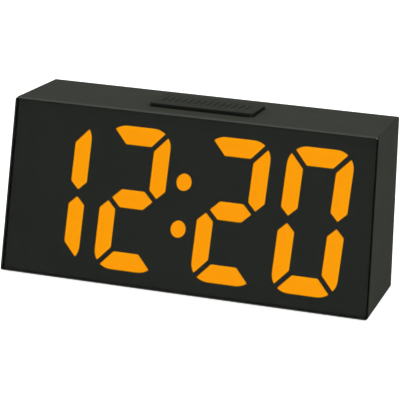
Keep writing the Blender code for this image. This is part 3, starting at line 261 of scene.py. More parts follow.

# %% [markdown]
# The walls of the snooze bar slide in the case, so the tool was polished there. The plastic is the same ABS,
# but smooth: it sends no stray light to the eye. Its colour is painted far blacker than the grained top
# beside it, partly for that and partly as painted shade for the gap round the bar. Faint upright drawing
# lines come from the tool's polish.
# The buttons and switch plungers are the same family of plastic in dark grey, with a finer grain. Their tops
# are touched every day, so their gloss drifts more.
# Nylon with glass fibre flows into streaks, and its surface shows short fibres: a dull, slightly lined black.

# %% Polished ABS, button plastic and glass-filled nylon
polished_shaded_abs = make_finish(
    "polished_shaded_black_abs", {"IOR": 1.54, "Specular IOR Level": 0.15}, ("11120f", "151713", 9 * mm),
    grain=(0.5 * mm, 0.002 * mm, (1, 1, 0.1)), gloss=(0.26, 0.36, 8 * mm),
)
button_plastic = make_finish(
    "dark_grey_button_abs", {"IOR": 1.54}, ("424245", "4a4a4d", 3 * mm),
    edge_wear_and_shade=(0.35 * mm, "6a6a6d", 0.7), grain=(0.3 * mm, 0.008 * mm), gloss=(0.38, 0.58, 2.5 * mm),
)
glass_nylon = make_finish(
    "glass_filled_nylon", {"IOR": 1.53, "Roughness": 0.55}, ("202022", "2b2b2e", 1.6 * mm, (1, 1, 4)),
    edge_wear_and_shade=(0.25 * mm, "454548", 0.6), grain=(0.25 * mm, 0.01 * mm, (1, 5, 1)),
)
print("plastics:", grained_abs.name, polished_shaded_abs.name, button_plastic.name, glass_nylon.name)

# %% [markdown]
# The front plane leans back, so the window and the display are drawn flat and then laid on it. On that plane
# a point has a place across, a depth behind the front and a height up the slope. The same matrix serves all
# pieces behind the window.

# %% The leaning front plane
case_width = 150 * mm
case_height = 70 * mm
front_setback = 5.5 * mm
side_draft = 2.25 * mm
case_bottom = 0.5 * mm
lean = math.atan2(front_setback, case_height)
front_length = math.hypot(case_height, front_setback)
front_origin = Vector((0, -25 * mm, case_bottom))
front_plane = Matrix.Translation(front_origin) @ Matrix.Rotation(-lean, 4, "X")
print("the front leans back", round(math.degrees(lean), 2), "degrees, its length is",
      round(front_length / mm, 2), "mm")

# %% [markdown]
# The window is smoked acrylic sheet with polished faces, index of refraction 1.49. Real smoke tint drinks
# part of the light that passes. Here each face of the sheet lets seven eighths of the light through, so the
# lit segments shine past both faces. A see-through share (alpha) does this without the grain and the slow
# light paths of true refraction.
# Wiped plastic carries fine random scratches, far too weak to see face on, and they blur its reflections.

# %% Smoked acrylic
window_share = 0.12
smoked_acrylic = make_finish(
    "smoked_acrylic_sheet", {"IOR": 1.49, "Specular IOR Level": 0.21, "Alpha": window_share},
    ("10140d", "12160f", 30 * mm), grain=(0.6 * mm, 0.0004 * mm, (1, 1, 6)), gloss=(0.12, 0.18, 25 * mm),
)

# The sheet's sides and lower edge are inked. The ink is dead matt and mirrors nothing. Its outer colour
# is painted near black, as painted shade, so from outside they look blacker than anything round them.
# Its inner side is painted far paler, as painted light that makes up for the light the sheet keeps from
# it, so that seen through the sheet it has the tone of the black print.
dead_matt = {"Specular IOR Level": 0.0, "Roughness": 0.9}
shaded_black_edge, tree, shader = start_finish("shaded_black_acrylic_edge", dead_matt)
# The outer ink's colour is painted shade.
outer_ink_painted_shade = patches(tree, shader, "0f100d", "131411", 4 * mm)
relief(tree, shader, 0.3 * mm, 0.003 * mm, (1, 1, 6))
# The inner side's paler colour is painted light.
inner_side = add_node(tree, "ShaderNodeNewGeometry").outputs["Backfacing"]
inner_ink_painted_light = {"data_type": "RGBA", 7: colour("575a53")}
ink = add_node(tree, "ShaderNodeMix", inner_ink_painted_light, {0: inner_side, 6: outer_ink_painted_shade})
link(tree, ink, shader.inputs["Base Color"])

# The upper edge is left as the saw ground it, and a bead of sealant runs on it. Both are matt, and their
# colour is painted paler than the case: a painted highlight for the thin pale line that light from above
# makes.
pale_edge_highlight = make_finish(
    "pale_ground_acrylic_edge", {"IOR": 1.49, "Specular IOR Level": 0.12, "Roughness": 0.8},
    ("3c3f39", "41443e", 4 * mm), grain=(0.3 * mm, 0.006 * mm, (6, 1, 1)),
)

# Its two corners are flamed smooth, and each carries a tiny glint.
flamed_corner = make_finish(
    "flamed_acrylic_corner", {"IOR": 1.49, "Specular IOR Level": 1.0}, ("0f110c", "13150f", 1 * mm),
    gloss=(0.06, 0.12, 0.5 * mm),
)
print("window passes", round((1 - window_share) ** 2, 2), "of the light behind it")

# %% [markdown]
# The display's front glass is printed black but for its segments. Seen through the window it should vanish,
# as the panel of the real clock looks like one piece. So it is as glossy as the window and stronger by the
# share that the window takes from light on its way in and out. The border round it is film with that print.
# The lit segments are backlit liquid crystal: flat amber light. Two lamps stand at the sides of the light
# guide, so the light falls off by a few hundredths towards the middle.

# %% Display glass and lit segments
mask_glass = make_finish(
    "black_printed_glass", {"IOR": 1.49, "Specular IOR Level": 0.245}, ("141a12", "161c14", 30 * mm),
    gloss=(0.12, 0.18, 25 * mm),
)
lamp_strength = 1.24
lit_amber, tree, shader = start_finish("lit_amber_segment", {
    "Base Color": colour("1a0e02"),
    "Specular IOR Level": 0.0,
    "Roughness": 0.4,
    "Emission Strength": lamp_strength,
})
across = add_node(tree, "ShaderNodeSeparateXYZ", {"Vector": place_on(tree)}).outputs["X"]
off_middle = add_node(tree, "ShaderNodeMath", {"operation": "ABSOLUTE", 0: across})
lamp_distance = {"From Min": 0.0, "From Max": 66 * mm, "To Min": 0.0, "To Max": 1.0}
fall_off = add_node(tree, "ShaderNodeMapRange", lamp_distance, {"Value": off_middle})
mottle = add_node(tree, "ShaderNodeTexNoise", {"Scale": 1 / (9 * mm)}, {"Vector": place_on(tree)})
blend = add_node(tree, "ShaderNodeMath", {"operation": "MULTIPLY_ADD", 0: mottle, 1: 0.5, 2: fall_off})
ambers = {"data_type": "RGBA", 6: colour("ff9d00"), 7: colour("ffa000")}
glow = add_node(tree, "ShaderNodeMix", ambers, {0: blend})
link(tree, glow, shader.inputs["Emission Color"])

dark_glass = make_finish(
    "unlit_display_glass", {"IOR": 1.52}, ("1b1a15", "221f18", 12 * mm), gloss=(0.08, 0.16, 10 * mm)
)
print("lit segment strength", lamp_strength)

# %% [markdown]
# Behind the glass lies the backlight. Its frosted film and clear guide have a faint milky drift, the white
# parts are matt ABS, and each lamp is a block of tinted epoxy.

# %% Backlight plastics
frosted_film = make_finish(
    "frosted_diffuser_film", {"IOR": 1.58, "Roughness": 0.75}, ("ece8dc", "f3efe4", 16 * mm),
    grain=(0.3 * mm, 0.01 * mm),
)
clear_guide = make_finish(
    "clear_acrylic_guide", {"IOR": 1.49, "Roughness": 0.08, "Alpha": 0.6}, ("e0e8ea", "e9eef0", 20 * mm),
    grain=(0.8 * mm, 0.02 * mm, unstretched, True),
)
white_abs = make_finish(
    "matt_white_abs", {"IOR": 1.54, "Roughness": 0.55}, ("e4e3da", "ecebe4", 15 * mm),
    edge_wear_and_shade=(0.4 * mm, "f6f6f2", 0.5), grain=(0.35 * mm, 0.012 * mm),
)
glow_sockets = {"Emission Color": colour("ff9a08"), "Emission Strength": 0.8}
lamp_epoxy = make_finish(
    "amber_lamp_epoxy", {"IOR": 1.55, "Roughness": 0.18, **glow_sockets}, ("f8bf52", "fbd07a", 1.2 * mm),
    grain=(0.5 * mm, 0.004 * mm),
)
print("backlight:", frosted_film.name, clear_guide.name, white_abs.name, lamp_epoxy.name)

# %% [markdown]
# The circuit boards are glass-fibre laminate under green solder mask. Copper tracks lie under the mask and
# show as paler, slightly raised lines. Boxy cells of a Voronoi pattern, measured by the larger of their
# sides, give straight tracks that turn at right angles, about 2.5 mm apart.
# The chip sits under a drop of epoxy that ran out and set: a glossy black pool with a slow wave in it.

# %% Circuit board
board_green, tree, shader = start_finish("green_solder_mask", {"IOR": 1.52, "Roughness": 0.3})
boxes = {"feature": "F1", "distance": "CHEBYCHEV", "Scale": 1 / (2.6 * mm), "Randomness": 0.8}
cells = add_node(tree, "ShaderNodeTexVoronoi", boxes, {"Vector": place_on(tree)})
track = add_node(tree, "ShaderNodeMapRange", {"From Min": 0.40, "From Max": 0.46}, {"Value": cells})
weave = add_node(tree, "ShaderNodeTexNoise", {"Scale": 1 / (0.7 * mm), "Vector": place_on(tree, (1, 1, 3))})
greens = {"data_type": "RGBA", 6: colour("0f5a2c"), 7: colour("176537")}
mask_green = add_node(tree, "ShaderNodeMix", greens, {0: weave})
track_green = {"data_type": "RGBA", 7: colour("2f8a4c")}
board_shade = add_node(tree, "ShaderNodeMix", track_green, {0: track, 6: mask_green})
link(tree, board_shade, shader.inputs["Base Color"])
raised = add_node(tree, "ShaderNodeBump", {"Distance": 0.035 * mm}, {"Height": track})
link(tree, raised, shader.inputs["Normal"])

chip_epoxy = make_finish(
    "black_chip_epoxy", {"IOR": 1.55, "Roughness": 0.12}, ("101012", "161618", 4 * mm),
    grain=(3 * mm, 0.05 * mm),
)
print("boards:", board_green.name, chip_epoxy.name)

# %% [markdown]
# The metals. Springs and contacts are steel wire and strip plated with nickel: warm, bright, with drawing
# lines. Screws are plated with zinc: bluish and duller, with a clouded skin. The buzzer's disc is rolled
# brass, with fine lines one way. A metal keeps the default index of refraction. Its colour is its reflection.
# Piezo ceramic is fired, then silvered by a screen: a pale matt skin with a weak weave.

# %% Metals and ceramic
nickel_steel = make_finish(
    "nickel_plated_spring_steel", {"Metallic": 1.0}, ("c2bfb6", "cfccc4", 2.5 * mm),
    edge_wear_and_shade=(0.15 * mm, "dedbd4", 0.6), grain=(0.25 * mm, 0.004 * mm, (1, 4, 1)), gloss=(0.22, 0.36, 3 * mm),
)
zinc_steel = make_finish(
    "zinc_plated_steel", {"Metallic": 1.0}, ("aab0b6", "bcc1c6", 1.2 * mm),
    edge_wear_and_shade=(0.15 * mm, "d5d9dd", 0.7), grain=(0.2 * mm, 0.006 * mm), gloss=(0.3, 0.48, 1 * mm),
)
rolled_brass = make_finish(
    "rolled_brass_sheet", {"Metallic": 1.0}, ("c79c4c", "d0a85a", 3 * mm),
    grain=(0.3 * mm, 0.003 * mm, (8, 1, 1)), gloss=(0.24, 0.4, 3 * mm),
)
silvered_ceramic = make_finish(
    "silvered_piezo_ceramic", {"IOR": 2.0}, ("dfd8c6", "e8e2d4", 1.5 * mm),
    grain=(0.35 * mm, 0.006 * mm, unstretched, True),
)
print("metals:", nickel_steel.name, zinc_steel.name, rolled_brass.name)

# %% [markdown]
# Rubber, film and sleeves. Foot rubber is pressed and dusted, so it is a dull grey-black with a chalky drift.
# The flex is polyimide, a clear brown film with copper lines inside it, about 1 mm apart. Leads have vinyl
# sleeves with a waxy shine and the faint rings of the extruder.

# %% Rubber, film and sleeves
foot_rubber = make_finish(
    "pressed_black_rubber", {"IOR": 1.52, "Roughness": 0.85}, ("181818", "222221", 2 * mm),
    grain=(0.35 * mm, 0.02 * mm),
)

flex_film, tree, shader = start_finish("polyimide_flex_film", {"IOR": 1.7, "Roughness": 0.25})
line_spacing = 1 * mm
waves = {"bands_direction": "X", "Scale": math.tau / (20 * line_spacing), "Distortion": 0.0}
lines = add_node(tree, "ShaderNodeTexWave", waves, {"Vector": place_on(tree)}).outputs["Fac"]
copper_line = add_node(tree, "ShaderNodeMapRange", {"From Min": 0.55, "From Max": 0.65}, {"Value": lines})
browns = {"data_type": "RGBA", 6: colour("b06a1e"), 7: colour("cf8d3f")}
link(tree, add_node(tree, "ShaderNodeMix", browns, {0: copper_line}), shader.inputs["Base Color"])
line_bump = add_node(tree, "ShaderNodeBump", {"Distance": 0.02 * mm}, {"Height": copper_line})
link(tree, line_bump, shader.inputs["Normal"])

red_sleeve, black_sleeve, grey_sleeve = (
    make_finish(
        name + "_vinyl_sleeve", {"IOR": 1.53, "Roughness": 0.4}, (first, second, 3 * mm),
        grain=(0.4 * mm, 0.006 * mm),
    )
    for name, first, second in (
        ("red", "a81814", "b4221c"), ("black", "161616", "1e1e1f"), ("grey", "8e8f91", "9a9b9d")
    )
)
print("soft finishes:", foot_rubber.name, flex_film.name, red_sleeve.name)

# %% [markdown]
# Each cell wears a printed jacket that stops short of both ends, where the steel can shows. One finish paints
# both: it measures how far a point is from the cell's axis and along it. The jacket is plain: deep blue,
# with a paler band at one end.

# %% Cells
def span_mask(tree, value, low, high, blur):
    """1 where a value lies between low and high, 0 outside, with soft ends."""
    soft = {"interpolation_type": "SMOOTHSTEP", "Value": value}
    ends = [
        add_node(tree, "ShaderNodeMapRange", soft, {"From Min": outside, "From Max": inside})
        for outside, inside in ((low - blur, low), (high + blur, high))
    ]
    return add_node(tree, "ShaderNodeMath", {"operation": "MULTIPLY"}, dict(enumerate(ends)))


bare_end = 1.8 * mm
band_span = (14 * mm, 3.2 * mm)
can_radius = (6.2 * mm, 6.5 * mm)
print_edge = 0.1 * mm


def cell_jacket(name, node):
    """The finish of one cell, placed by the cell's own box."""
    low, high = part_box(node)
    middle = (Vector(low) + Vector(high)) / 2
    half = (high[0] - low[0]) / 2
    material, tree, shader = start_finish(name, {})
    to_middle = {"operation": "SUBTRACT", 1: middle}
    centred = add_node(tree, "ShaderNodeVectorMath", to_middle, {0: place_on(tree)})
    apart = add_node(tree, "ShaderNodeSeparateXYZ", {"Vector": centred}).outputs
    flat = add_node(tree, "ShaderNodeCombineXYZ", {"Y": apart["Y"], "Z": apart["Z"]})
    radius = add_node(tree, "ShaderNodeVectorMath", {"operation": "LENGTH", 0: flat})
    can = dict(zip(("From Min", "From Max"), can_radius))
    outer = add_node(tree, "ShaderNodeMapRange", can, {"Value": radius})
    jacket_part = span_mask(tree, apart["X"], bare_end - half, half - bare_end, print_edge)
    jacket = add_node(tree, "ShaderNodeMath", {"operation": "MULTIPLY", 0: outer, 1: jacket_part})
    band = span_mask(tree, apart["X"], half - band_span[0], half - band_span[1], print_edge)
    prints = {"data_type": "RGBA", 6: colour("23406a"), 7: colour("9aa2ac")}
    print_shade = add_node(tree, "ShaderNodeMix", prints, {0: band})
    steel = {"data_type": "RGBA", 6: colour("b9b8b2")}
    shade = add_node(tree, "ShaderNodeMix", steel, {0: jacket, 7: print_shade})
    bare = add_node(tree, "ShaderNodeMath", {"operation": "SUBTRACT", 0: 1.0}, {1: jacket})
    link(tree, shade, shader.inputs["Base Color"])
    link(tree, bare, shader.inputs["Metallic"])
    uneven_gloss(tree, shader, 0.2, 0.34, 6 * mm)
    relief(tree, shader, 0.4 * mm, 0.004 * mm, (0.2, 1, 1))
    return material


cell_finishes = {node: cell_jacket(node + "_jacket", node) for node in ("battery_lower", "battery_upper")}
print("cells:", sorted(cell_finishes))

# %% [markdown]
# Solids whose shape is right keep their mesh and only get a better finish. The record names a slot for each
# solid, so one table from slot to finish serves them all. The two cells share a slot but have their own.

# %% Finishes for the solids that stay
finish_of_slot = {
    "black_abs": grained_abs,
    "smoked_acrylic": smoked_acrylic,
    "mask_glass": mask_glass,
    "amber_segments": lit_amber,
    "diffuser_film": frosted_film,
    "clear_acrylic": clear_guide,
    "white_abs": white_abs,
    "lamp_resin": lamp_epoxy,
    "board_laminate": board_green,
    "chip_resin": chip_epoxy,
    "nickel_steel": nickel_steel,
    "zinc_steel": zinc_steel,
    "brass": rolled_brass,
    "ceramic": silvered_ceramic,
    "dark_nylon": glass_nylon,
    "plunger_plastic": button_plastic,
    "black_rubber": foot_rubber,
    "flex_film": flex_film,
    "red_sleeve": red_sleeve,
    "black_sleeve": black_sleeve,
    "grey_sleeve": grey_sleeve,
}
for name, solid in nodes.items():
    slot = solid.material_slots[0]
    slot.material = cell_finishes.get(name) or finish_of_slot[slot.material.name.split(".")[0]]
print("dressed", len(nodes), "solids in", len({n.material_slots[0].material.name for n in nodes.values()}),
      "finishes")

# %% [markdown]
# Flat pieces are cut from sheet, so they are drawn as outlines, as a cutter would follow them. A flat curve
# fills its outline and leaves its inner outlines open as holes. Given a thickness, it is a sheet, and its rim
# is then rounded with small facets. A cube could be cut down to the same shape, with far more work.

# %% Helpers for outlines and sheets
def rounded(corners, radius, steps=8):
    """A convex outline, given counterclockwise, with each corner turned into an arc."""
    corners = [Vector(corner) for corner in corners]
    outline = []
    for i, corner in enumerate(corners):
        to_last = (corners[i - 1] - corner).normalized()
        to_next = (corners[(i + 1) % len(corners)] - corner).normalized()
        half = to_last.angle(to_next) / 2
        centre = corner + (to_last + to_next).normalized() * radius / math.sin(half)
        arm = corner + to_last * radius / math.tan(half) - centre
        for step in range(steps + 1):
            outline.append(centre + Matrix.Rotation((math.pi - 2 * half) * step / steps, 2) @ arm)
    return outline


def rectangle(across, upwards):
    """A rectangle between two values across and two upwards."""
    return [Vector((across[i], upwards[j])) for i, j in ((0, 0), (1, 0), (1, 1), (0, 1))]


def tidy(bm):
    """Merges what touches and turns every face outwards."""
    bmesh.ops.remove_doubles(bm, verts=bm.verts, dist=0.002 * mm)
    bmesh.ops.recalc_face_normals(bm, faces=bm.faces)


def sheet(outlines, thickness, rim=0.0, facets=4):
    """A sheet about its own middle plane, as a bmesh. The edge of its upper face is rounded by rim."""
    curve = bpy.data.curves.new("outline", "CURVE")
    curve.dimensions = "2D"
    curve.fill_mode = "BOTH"
    curve.extrude = thickness / 2
    for outline in outlines:
        spline = curve.splines.new("POLY")
        spline.points.add(len(outline) - 1)
        for point, (x, y) in zip(spline.points, outline):
            point.co = (x, y, 0, 1)
        spline.use_cyclic_u = True
    drawn = bpy.data.objects.new("outline", curve)
    mesh = bpy.data.meshes.new_from_object(drawn)
    bm = bmesh.new()
    bm.from_mesh(mesh)
    bpy.data.objects.remove(drawn)
    tidy(bm)
    if rim:
        bmesh.ops.dissolve_limit(bm, angle_limit=math.radians(1), verts=bm.verts, edges=bm.edges)
        edges = [edge for edge in bm.edges if sum(face.normal.z > 0.999 for face in edge.link_faces) == 1]
        bmesh.ops.bevel(bm, geom=edges, offset=rim, segments=facets, profile=0.5, affect="EDGES")
    return bm


print("a rounded square has", len(rounded(rectangle((0, 1), (0, 1)), 0.1)), "points")

# %% [markdown]
# A drawn shape becomes a piece: it is laid in its place, gets its finishes and is shaded smoothly. On a
# rounded rim the normals are weighted by face area, so that large faces stay flat to the light and only the
# rim turns.

# %% Helpers for pieces
def shade_smoothly(mesh):
    """Smooth shading but for edges sharper than a rounded rim's."""
    mesh.shade_smooth()
    mesh.set_sharp_from_angle(angle=math.radians(38))


def as_piece(name, bm, place, finishes):
    """Turns a bmesh into an object at the origin, its place in its mesh, with clean shading."""
    bmesh.ops.transform(bm, matrix=place, verts=bm.verts)
    mesh = bpy.data.meshes.new(name)
    bm.to_mesh(mesh)
    bm.free()
    for finish in finishes:
        mesh.materials.append(finish)
    shade_smoothly(mesh)
    return put(name, mesh)


def made_plain(piece):
    """Applies the modifiers of a piece, so that it is a plain mesh."""
    bpy.context.view_layer.update()
    evaluated = piece.evaluated_get(bpy.context.evaluated_depsgraph_get())
    mesh = bpy.data.meshes.new_from_object(evaluated)
    piece.modifiers.clear()
    piece.data = mesh
    mesh.name = piece.name
    return piece


def weigh_normals(piece):
    """Large flat faces keep their own normal, and narrow ones turn between them."""
    shade_smoothly(piece.data)
    weigh = piece.modifiers.new("weigh", "WEIGHTED_NORMAL")
    weigh.keep_sharp = True
    return made_plain(piece)


facing_front = Matrix.Rotation(math.pi / 2, 4, "X")


def behind_front(depth):
    """Where a flat sheet goes whose middle lies at a depth behind the front plane."""
    return front_plane @ Matrix.Translation((0, depth, 0)) @ facing_front


print("a sheet behind the front leans as it does:", [round(c, 3) for c in behind_front(0).col[2][:3]])

# %% [markdown]
# The window runs to the very edges of the front. Its sides follow the case, which narrows upwards. Its front
# edges are bevelled by 0.3 mm. The faces take the polished finishes, the upper edge the pale one with its
# painted highlight, its corners the flamed one, and the other edges the ink with its painted shade.

# %% The smoked window
window_inset = 0.15 * mm
window_thickness = 1.8 * mm
window_corner = 0.6 * mm
window_bevel = 0.3 * mm
flamed_reach = 1 * mm
half_low = case_width / 2 - window_inset
half_high = half_low - side_draft
window_top = front_length - window_inset
corners = [
    (-half_low, window_inset), (half_low, window_inset), (half_high, window_top), (-half_high, window_top)
]
bm = sheet([rounded(corners, window_corner)], window_thickness, window_bevel)
corner_x, corner_y = half_high - flamed_reach, window_top - flamed_reach
for face in bm.faces:
    middle = face.calc_center_median()
    # Edges that face up get the pale finish, a painted highlight; the others get the ink, painted shade.
    if abs(face.normal.z) < 0.999:
        upper = 3 if middle.y > corner_y and abs(middle.x) > corner_x else 2
        face.material_index = upper if face.normal.y > 0.3 else 1
window_finishes = [smoked_acrylic, shaded_black_edge, pale_edge_highlight, flamed_corner]
window = as_piece("smoked_window", bm, behind_front(window_thickness / 2), window_finishes)
weigh_normals(window)
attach(window, "case")
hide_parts("front_window")
print("window:", len(window.data.polygons), "faces")

# %% [markdown]
# Behind the window a frame of printed film holds sheet and case together and covers the rim of the display. A
# bead of sealant on the sheet's upper edge slopes up to the top of the case. A texture could paint it, but it
# catches the light as a real slope does only if it is one, so its section is drawn and extruded.

# %% The film and the bead
film_inset = 0.05 * mm
film_middle = 1.95 * mm
film_thickness = 0.2 * mm
opening_half = 66.2 * mm
opening_low = 4.9 * mm
opening_high = front_length - 4.7 * mm
film_outline = [(x * (1 - film_inset / abs(x)), y) for x, y in corners]
film_opening = rectangle((-opening_half, opening_half), (opening_low, opening_high))
bm = sheet([film_outline, film_opening], film_thickness)
film = as_piece("border_film", bm, behind_front(film_middle), [mask_glass])
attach(film, "case")


def case_top_at(depth):
    """How far up the slope the flat top of the case is, at a depth behind the front."""
    return (case_height + depth * math.sin(lean)) / math.cos(lean)


bead_rear = 2.1 * mm
bead_length = 2 * half_high - 1 * mm
bead_section = [
    (0.32 * mm, window_top),
    (1.3 * mm, window_top + 0.1 * mm),
    (1.8 * mm, window_top + 0.2 * mm),
    (bead_rear, case_top_at(bead_rear)),
    (bead_rear, window_top),
]
bead_place = front_plane @ Matrix.Rotation(math.pi / 2, 4, "Z") @ Matrix.Rotation(math.pi / 2, 4, "X")
# The bead wears the pale edge finish, whose colour is a painted highlight.
bead = as_piece("sealant_bead", sheet([bead_section], bead_length), bead_place, [pale_edge_highlight])
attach(bead, "case")
print("film:", len(film.data.polygons), "faces, bead:", len(bead.data.polygons))

# %% [markdown]
# The digits are seven-segment ones: bars with mitred ends and rounded outer corners, and pointed ends at half
# height. One quarter of the shapes is drawn, and the rest are its mirror images. The whole row leans to
# the right by a twentieth. The same outlines, grown a little, are the clear windows in the black mask.

# %% Outlines of the segments
digit_width = 25.7 * mm
digit_height = front_length - 12.8 * mm
upright_stroke = 6.3 * mm
level_stroke = 7.1 * mm
digit_corner = 7.3 * mm
segment_gap = 2.2 * mm
tip_gap = 3 * mm


def arc(centre, radius, first, last, steps=9):
    """Points along an arc between two angles."""
    angles = (first + (last - first) * step / steps for step in range(steps + 1))
    return [centre + radius * Vector((math.cos(angle), math.sin(angle))) for angle in angles]


def meet_arc(start, direction, centre, radius):
    """Where a line from start first meets a circle from outside."""
    offset = start - centre
    along = offset.dot(direction)
    depth = math.sqrt(along * along - offset.length_squared + radius * radius)
    return start + direction * (-along - depth)


def segment_outlines(grow):
    """The outlines of the seven segments about the digit's middle, each grown by a margin."""
    right = digit_width / 2 + grow
    top = digit_height / 2 + grow
    upright = upright_stroke + 2 * grow
    level = level_stroke + 2 * grow
    corner = digit_corner + grow
    outer = Vector((right, top))
    inwards = (Vector((right - upright, top - level)) - outer).normalized()
    across = Vector((inwards.y, -inwards.x)) * (segment_gap / 2 - grow)
    centre = Vector((right - corner, top - corner))

    level_end = meet_arc(outer + across, inwards, centre, corner)
    level_in = outer + across + inwards * (level + across.y) / -inwards.y
    first = (level_end - centre).angle_signed(Vector((1, 0)))
    half_top = [level_in, *arc(centre, corner, first, math.pi / 2)]
    top_bar = half_top + [Vector((-x, y)) for x, y in reversed(half_top)]

    upright_end = meet_arc(outer - across, inwards, centre, corner)
    upright_in = outer - across + inwards * (upright - across.x) / -inwards.x
    last = (upright_end - centre).angle_signed(Vector((1, 0)))
    tip = tip_gap / 2 - grow
    shoulder = tip + upright / 2
    upper_right = [
        Vector((right - upright / 2, tip)),
        Vector((right, shoulder)),
        *arc(centre, corner, 0, last),
        upright_in,
        Vector((right - upright, shoulder)),
    ]
    reach = digit_width / 2 - upright_stroke / 2 - tip_gap / 2 + grow
    half_bar = [(reach, 0), (reach - level / 2, level / 2), (level / 2 - reach, level / 2)]
    middle_bar = [Vector(p) for p in half_bar] + [-Vector(p) for p in half_bar]

    def mirror(outline, x, y):
        return [Vector((p.x * x, p.y * y)) for p in outline]

    return {
        "a": top_bar,
        "b": upper_right,
        "c": mirror(upper_right, 1, -1),
        "d": mirror(top_bar, 1, -1),
        "e": mirror(upper_right, -1, -1),
        "f": mirror(upper_right, -1, 1),
        "g": middle_bar,
    }


print("points in an upright segment:", len(segment_outlines(0)["b"]))

# %% [markdown]
# Which segments are lit spells the time, 12:20. The display counts from its left: two digits, the two dots of
# the colon and two digits more. Each lit area is one outline, so that mask and segments can share them.

# %% The lit outlines
lit_letters = {"1": "bc", "2": "abged", "0": "abcdef"}
shown_time = "12:20"
digit_pitch = 32.4 * mm
pair_pitch = 40 * mm
row_shift = 2.25 * mm
slant = 0.052
digit_middle = 6.1 * mm + digit_height / 2
dot_half = Vector((2.95 * mm, 3.35 * mm))
dot_spacing = 18.7 * mm
dot_points = 28


def disc(radius_x, radius_y):
    """An ellipse about the origin, as an outline."""
    circle = arc(Vector((0, 0)), 1, 0, math.tau, dot_points)[:-1]
    return [Vector((p.x * radius_x, p.y * radius_y)) for p in circle]


def lit_outlines(grow):
    """All lit segments and both dots of the colon, as outlines on the front plane."""
    outlines = segment_outlines(grow)
    inner = pair_pitch / 2
    lit = []
    for character, centre in zip(shown_time, (-inner - digit_pitch, -inner, 0, inner, inner + digit_pitch)):
        if character == ":":
            dot = disc(dot_half.x + grow, dot_half.y + grow)
            spots = [[p + Vector((0, side * dot_spacing / 2)) for p in dot] for side in (-1, 1)]
        else:
            spots = [outlines[letter] for letter in lit_letters[character]]
        shift = centre - row_shift
        lit += [[Vector((p.x + slant * p.y + shift, digit_middle + p.y)) for p in spot] for spot in spots]
    return lit


print("lit areas:", len(lit_outlines(0)))

# %% [markdown]
# The display is two panes. The front one is the black mask, open where a segment is lit. The rear one carries
# the segments, which stand up into those openings to just below the mask's face. So the light is even with
# the print, and from the side the digits don't float.

# %% The display
mask_front = 2.1 * mm
glass_thickness = 1.1 * mm
segment_front = 3.5 * mm
glass_half = 67.2 * mm
glass_low = 3.9 * mm
glass_high = front_length - 3.7 * mm
rear_glass_low = glass_low + 2 * mm
opening_margin = 0.15 * mm
mask_outline = rectangle((-glass_half, glass_half), (glass_low, glass_high))
bm = sheet([mask_outline, *lit_outlines(opening_margin)], glass_thickness)
mask = as_piece("display_mask", bm, behind_front(mask_front + glass_thickness / 2), [mask_glass])
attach(mask, "case")
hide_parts("lcd_front_glass")

bm = sheet([rectangle((-glass_half, glass_half), (rear_glass_low, glass_high))], glass_thickness)
rear_middle = segment_front + glass_thickness / 2
near = mask_front + 0.1 * mm
far = segment_front + 0.5 * mm
pane_faces = len(bm.faces)
bars = sheet(lit_outlines(0), far - near)
bmesh.ops.translate(bars, verts=bars.verts, vec=(0, 0, rear_middle - (near + far) / 2))
bars_mesh = bpy.data.meshes.new("bars")
bars.to_mesh(bars_mesh)
bars.free()
bm.from_mesh(bars_mesh)
bm.faces.ensure_lookup_table()
for face in bm.faces[pane_faces:]:
    face.material_index = 1
display = as_piece("lit_display", bm, behind_front(rear_middle), [dark_glass, lit_amber])
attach(display, "case")
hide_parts("lcd_rear_glass")
print("mask:", len(mask.data.polygons), "faces; lit display:", len(display.data.polygons))

# %% [markdown]
# Some pieces are solids cut from or joined to other solids, as a mould is. A Boolean does both. Its exact
# solver is slower than the fast one, but it copes with faces that lie in one plane.

# %% Cutting and joining
def carve(piece, cutter, operation="DIFFERENCE"):
    """Cuts a bmesh out of a piece, or joins it on."""
    tool = as_piece("tool", cutter, Matrix.Identity(4), [])
    boolean = piece.modifiers.new("carve", "BOOLEAN")
    boolean.operation = operation
    boolean.solver = "EXACT"
    boolean.object = tool
    made_plain(piece)
    bpy.data.objects.remove(tool)
    return piece


def block(across, inwards, upwards):
    """A box between two values along each axis, as a bmesh."""
    bm = bmesh.new()
    spans = (across, inwards, upwards)
    middle = Vector([(low + high) / 2 for low, high in spans])
    sizes = Vector([high - low for low, high in spans])
    bmesh.ops.create_cube(bm, size=1, matrix=Matrix.Translation(middle) @ Matrix.Diagonal((*sizes, 1)))
    return bm


print("a block has", len(block((0, 1), (0, 1), (0, 1)).faces), "faces")

# %% [markdown]
# The snooze bar is a hollow cap. Its top is grained as the case is, its edges are rounded by a third of a
# millimetre, and its walls are polished where they slide, with a colour that is partly painted shade. Below
# the case it has a lip at each end, which keeps it in, a stem for its switch and two for its springs.
# The cap is drawn as a sheet and hollowed with a Boolean. The stems and the lip are simple turned and
# cut shapes that reach into it, so they are added to the same mesh.

# %% The snooze bar
bar_half = Vector((21 * mm, 10.5 * mm))
bar_corner = 1.5 * mm
bar_rim = 0.35 * mm
bar_y = 2 * mm
bar_top = 72.1 * mm
cap_bottom = 67.2 * mm
cap_height = bar_top - cap_bottom
hollow_x = (-19.5 * mm, 19.5 * mm)
hollow_y = (bar_y - 9 * mm, bar_y + 9 * mm)
hollow_top = bar_top - 1.5 * mm
below_bar = 65 * mm
lip_reach = ((-23 * mm, 23 * mm), (bar_y - 9.5 * mm, bar_y + 9.5 * mm), (66.6 * mm, 67.8 * mm))
lip_hollow_top = 69 * mm
stem_top = 71.1 * mm
# A stem is where it stands along the bar, its radius and the height of its lower end.
switch_stem = (0, 2.6 * mm, 66.2 * mm)
spring_stems = [(x, 2.4 * mm, 67.3 * mm) for x in (-12 * mm, 12 * mm)]

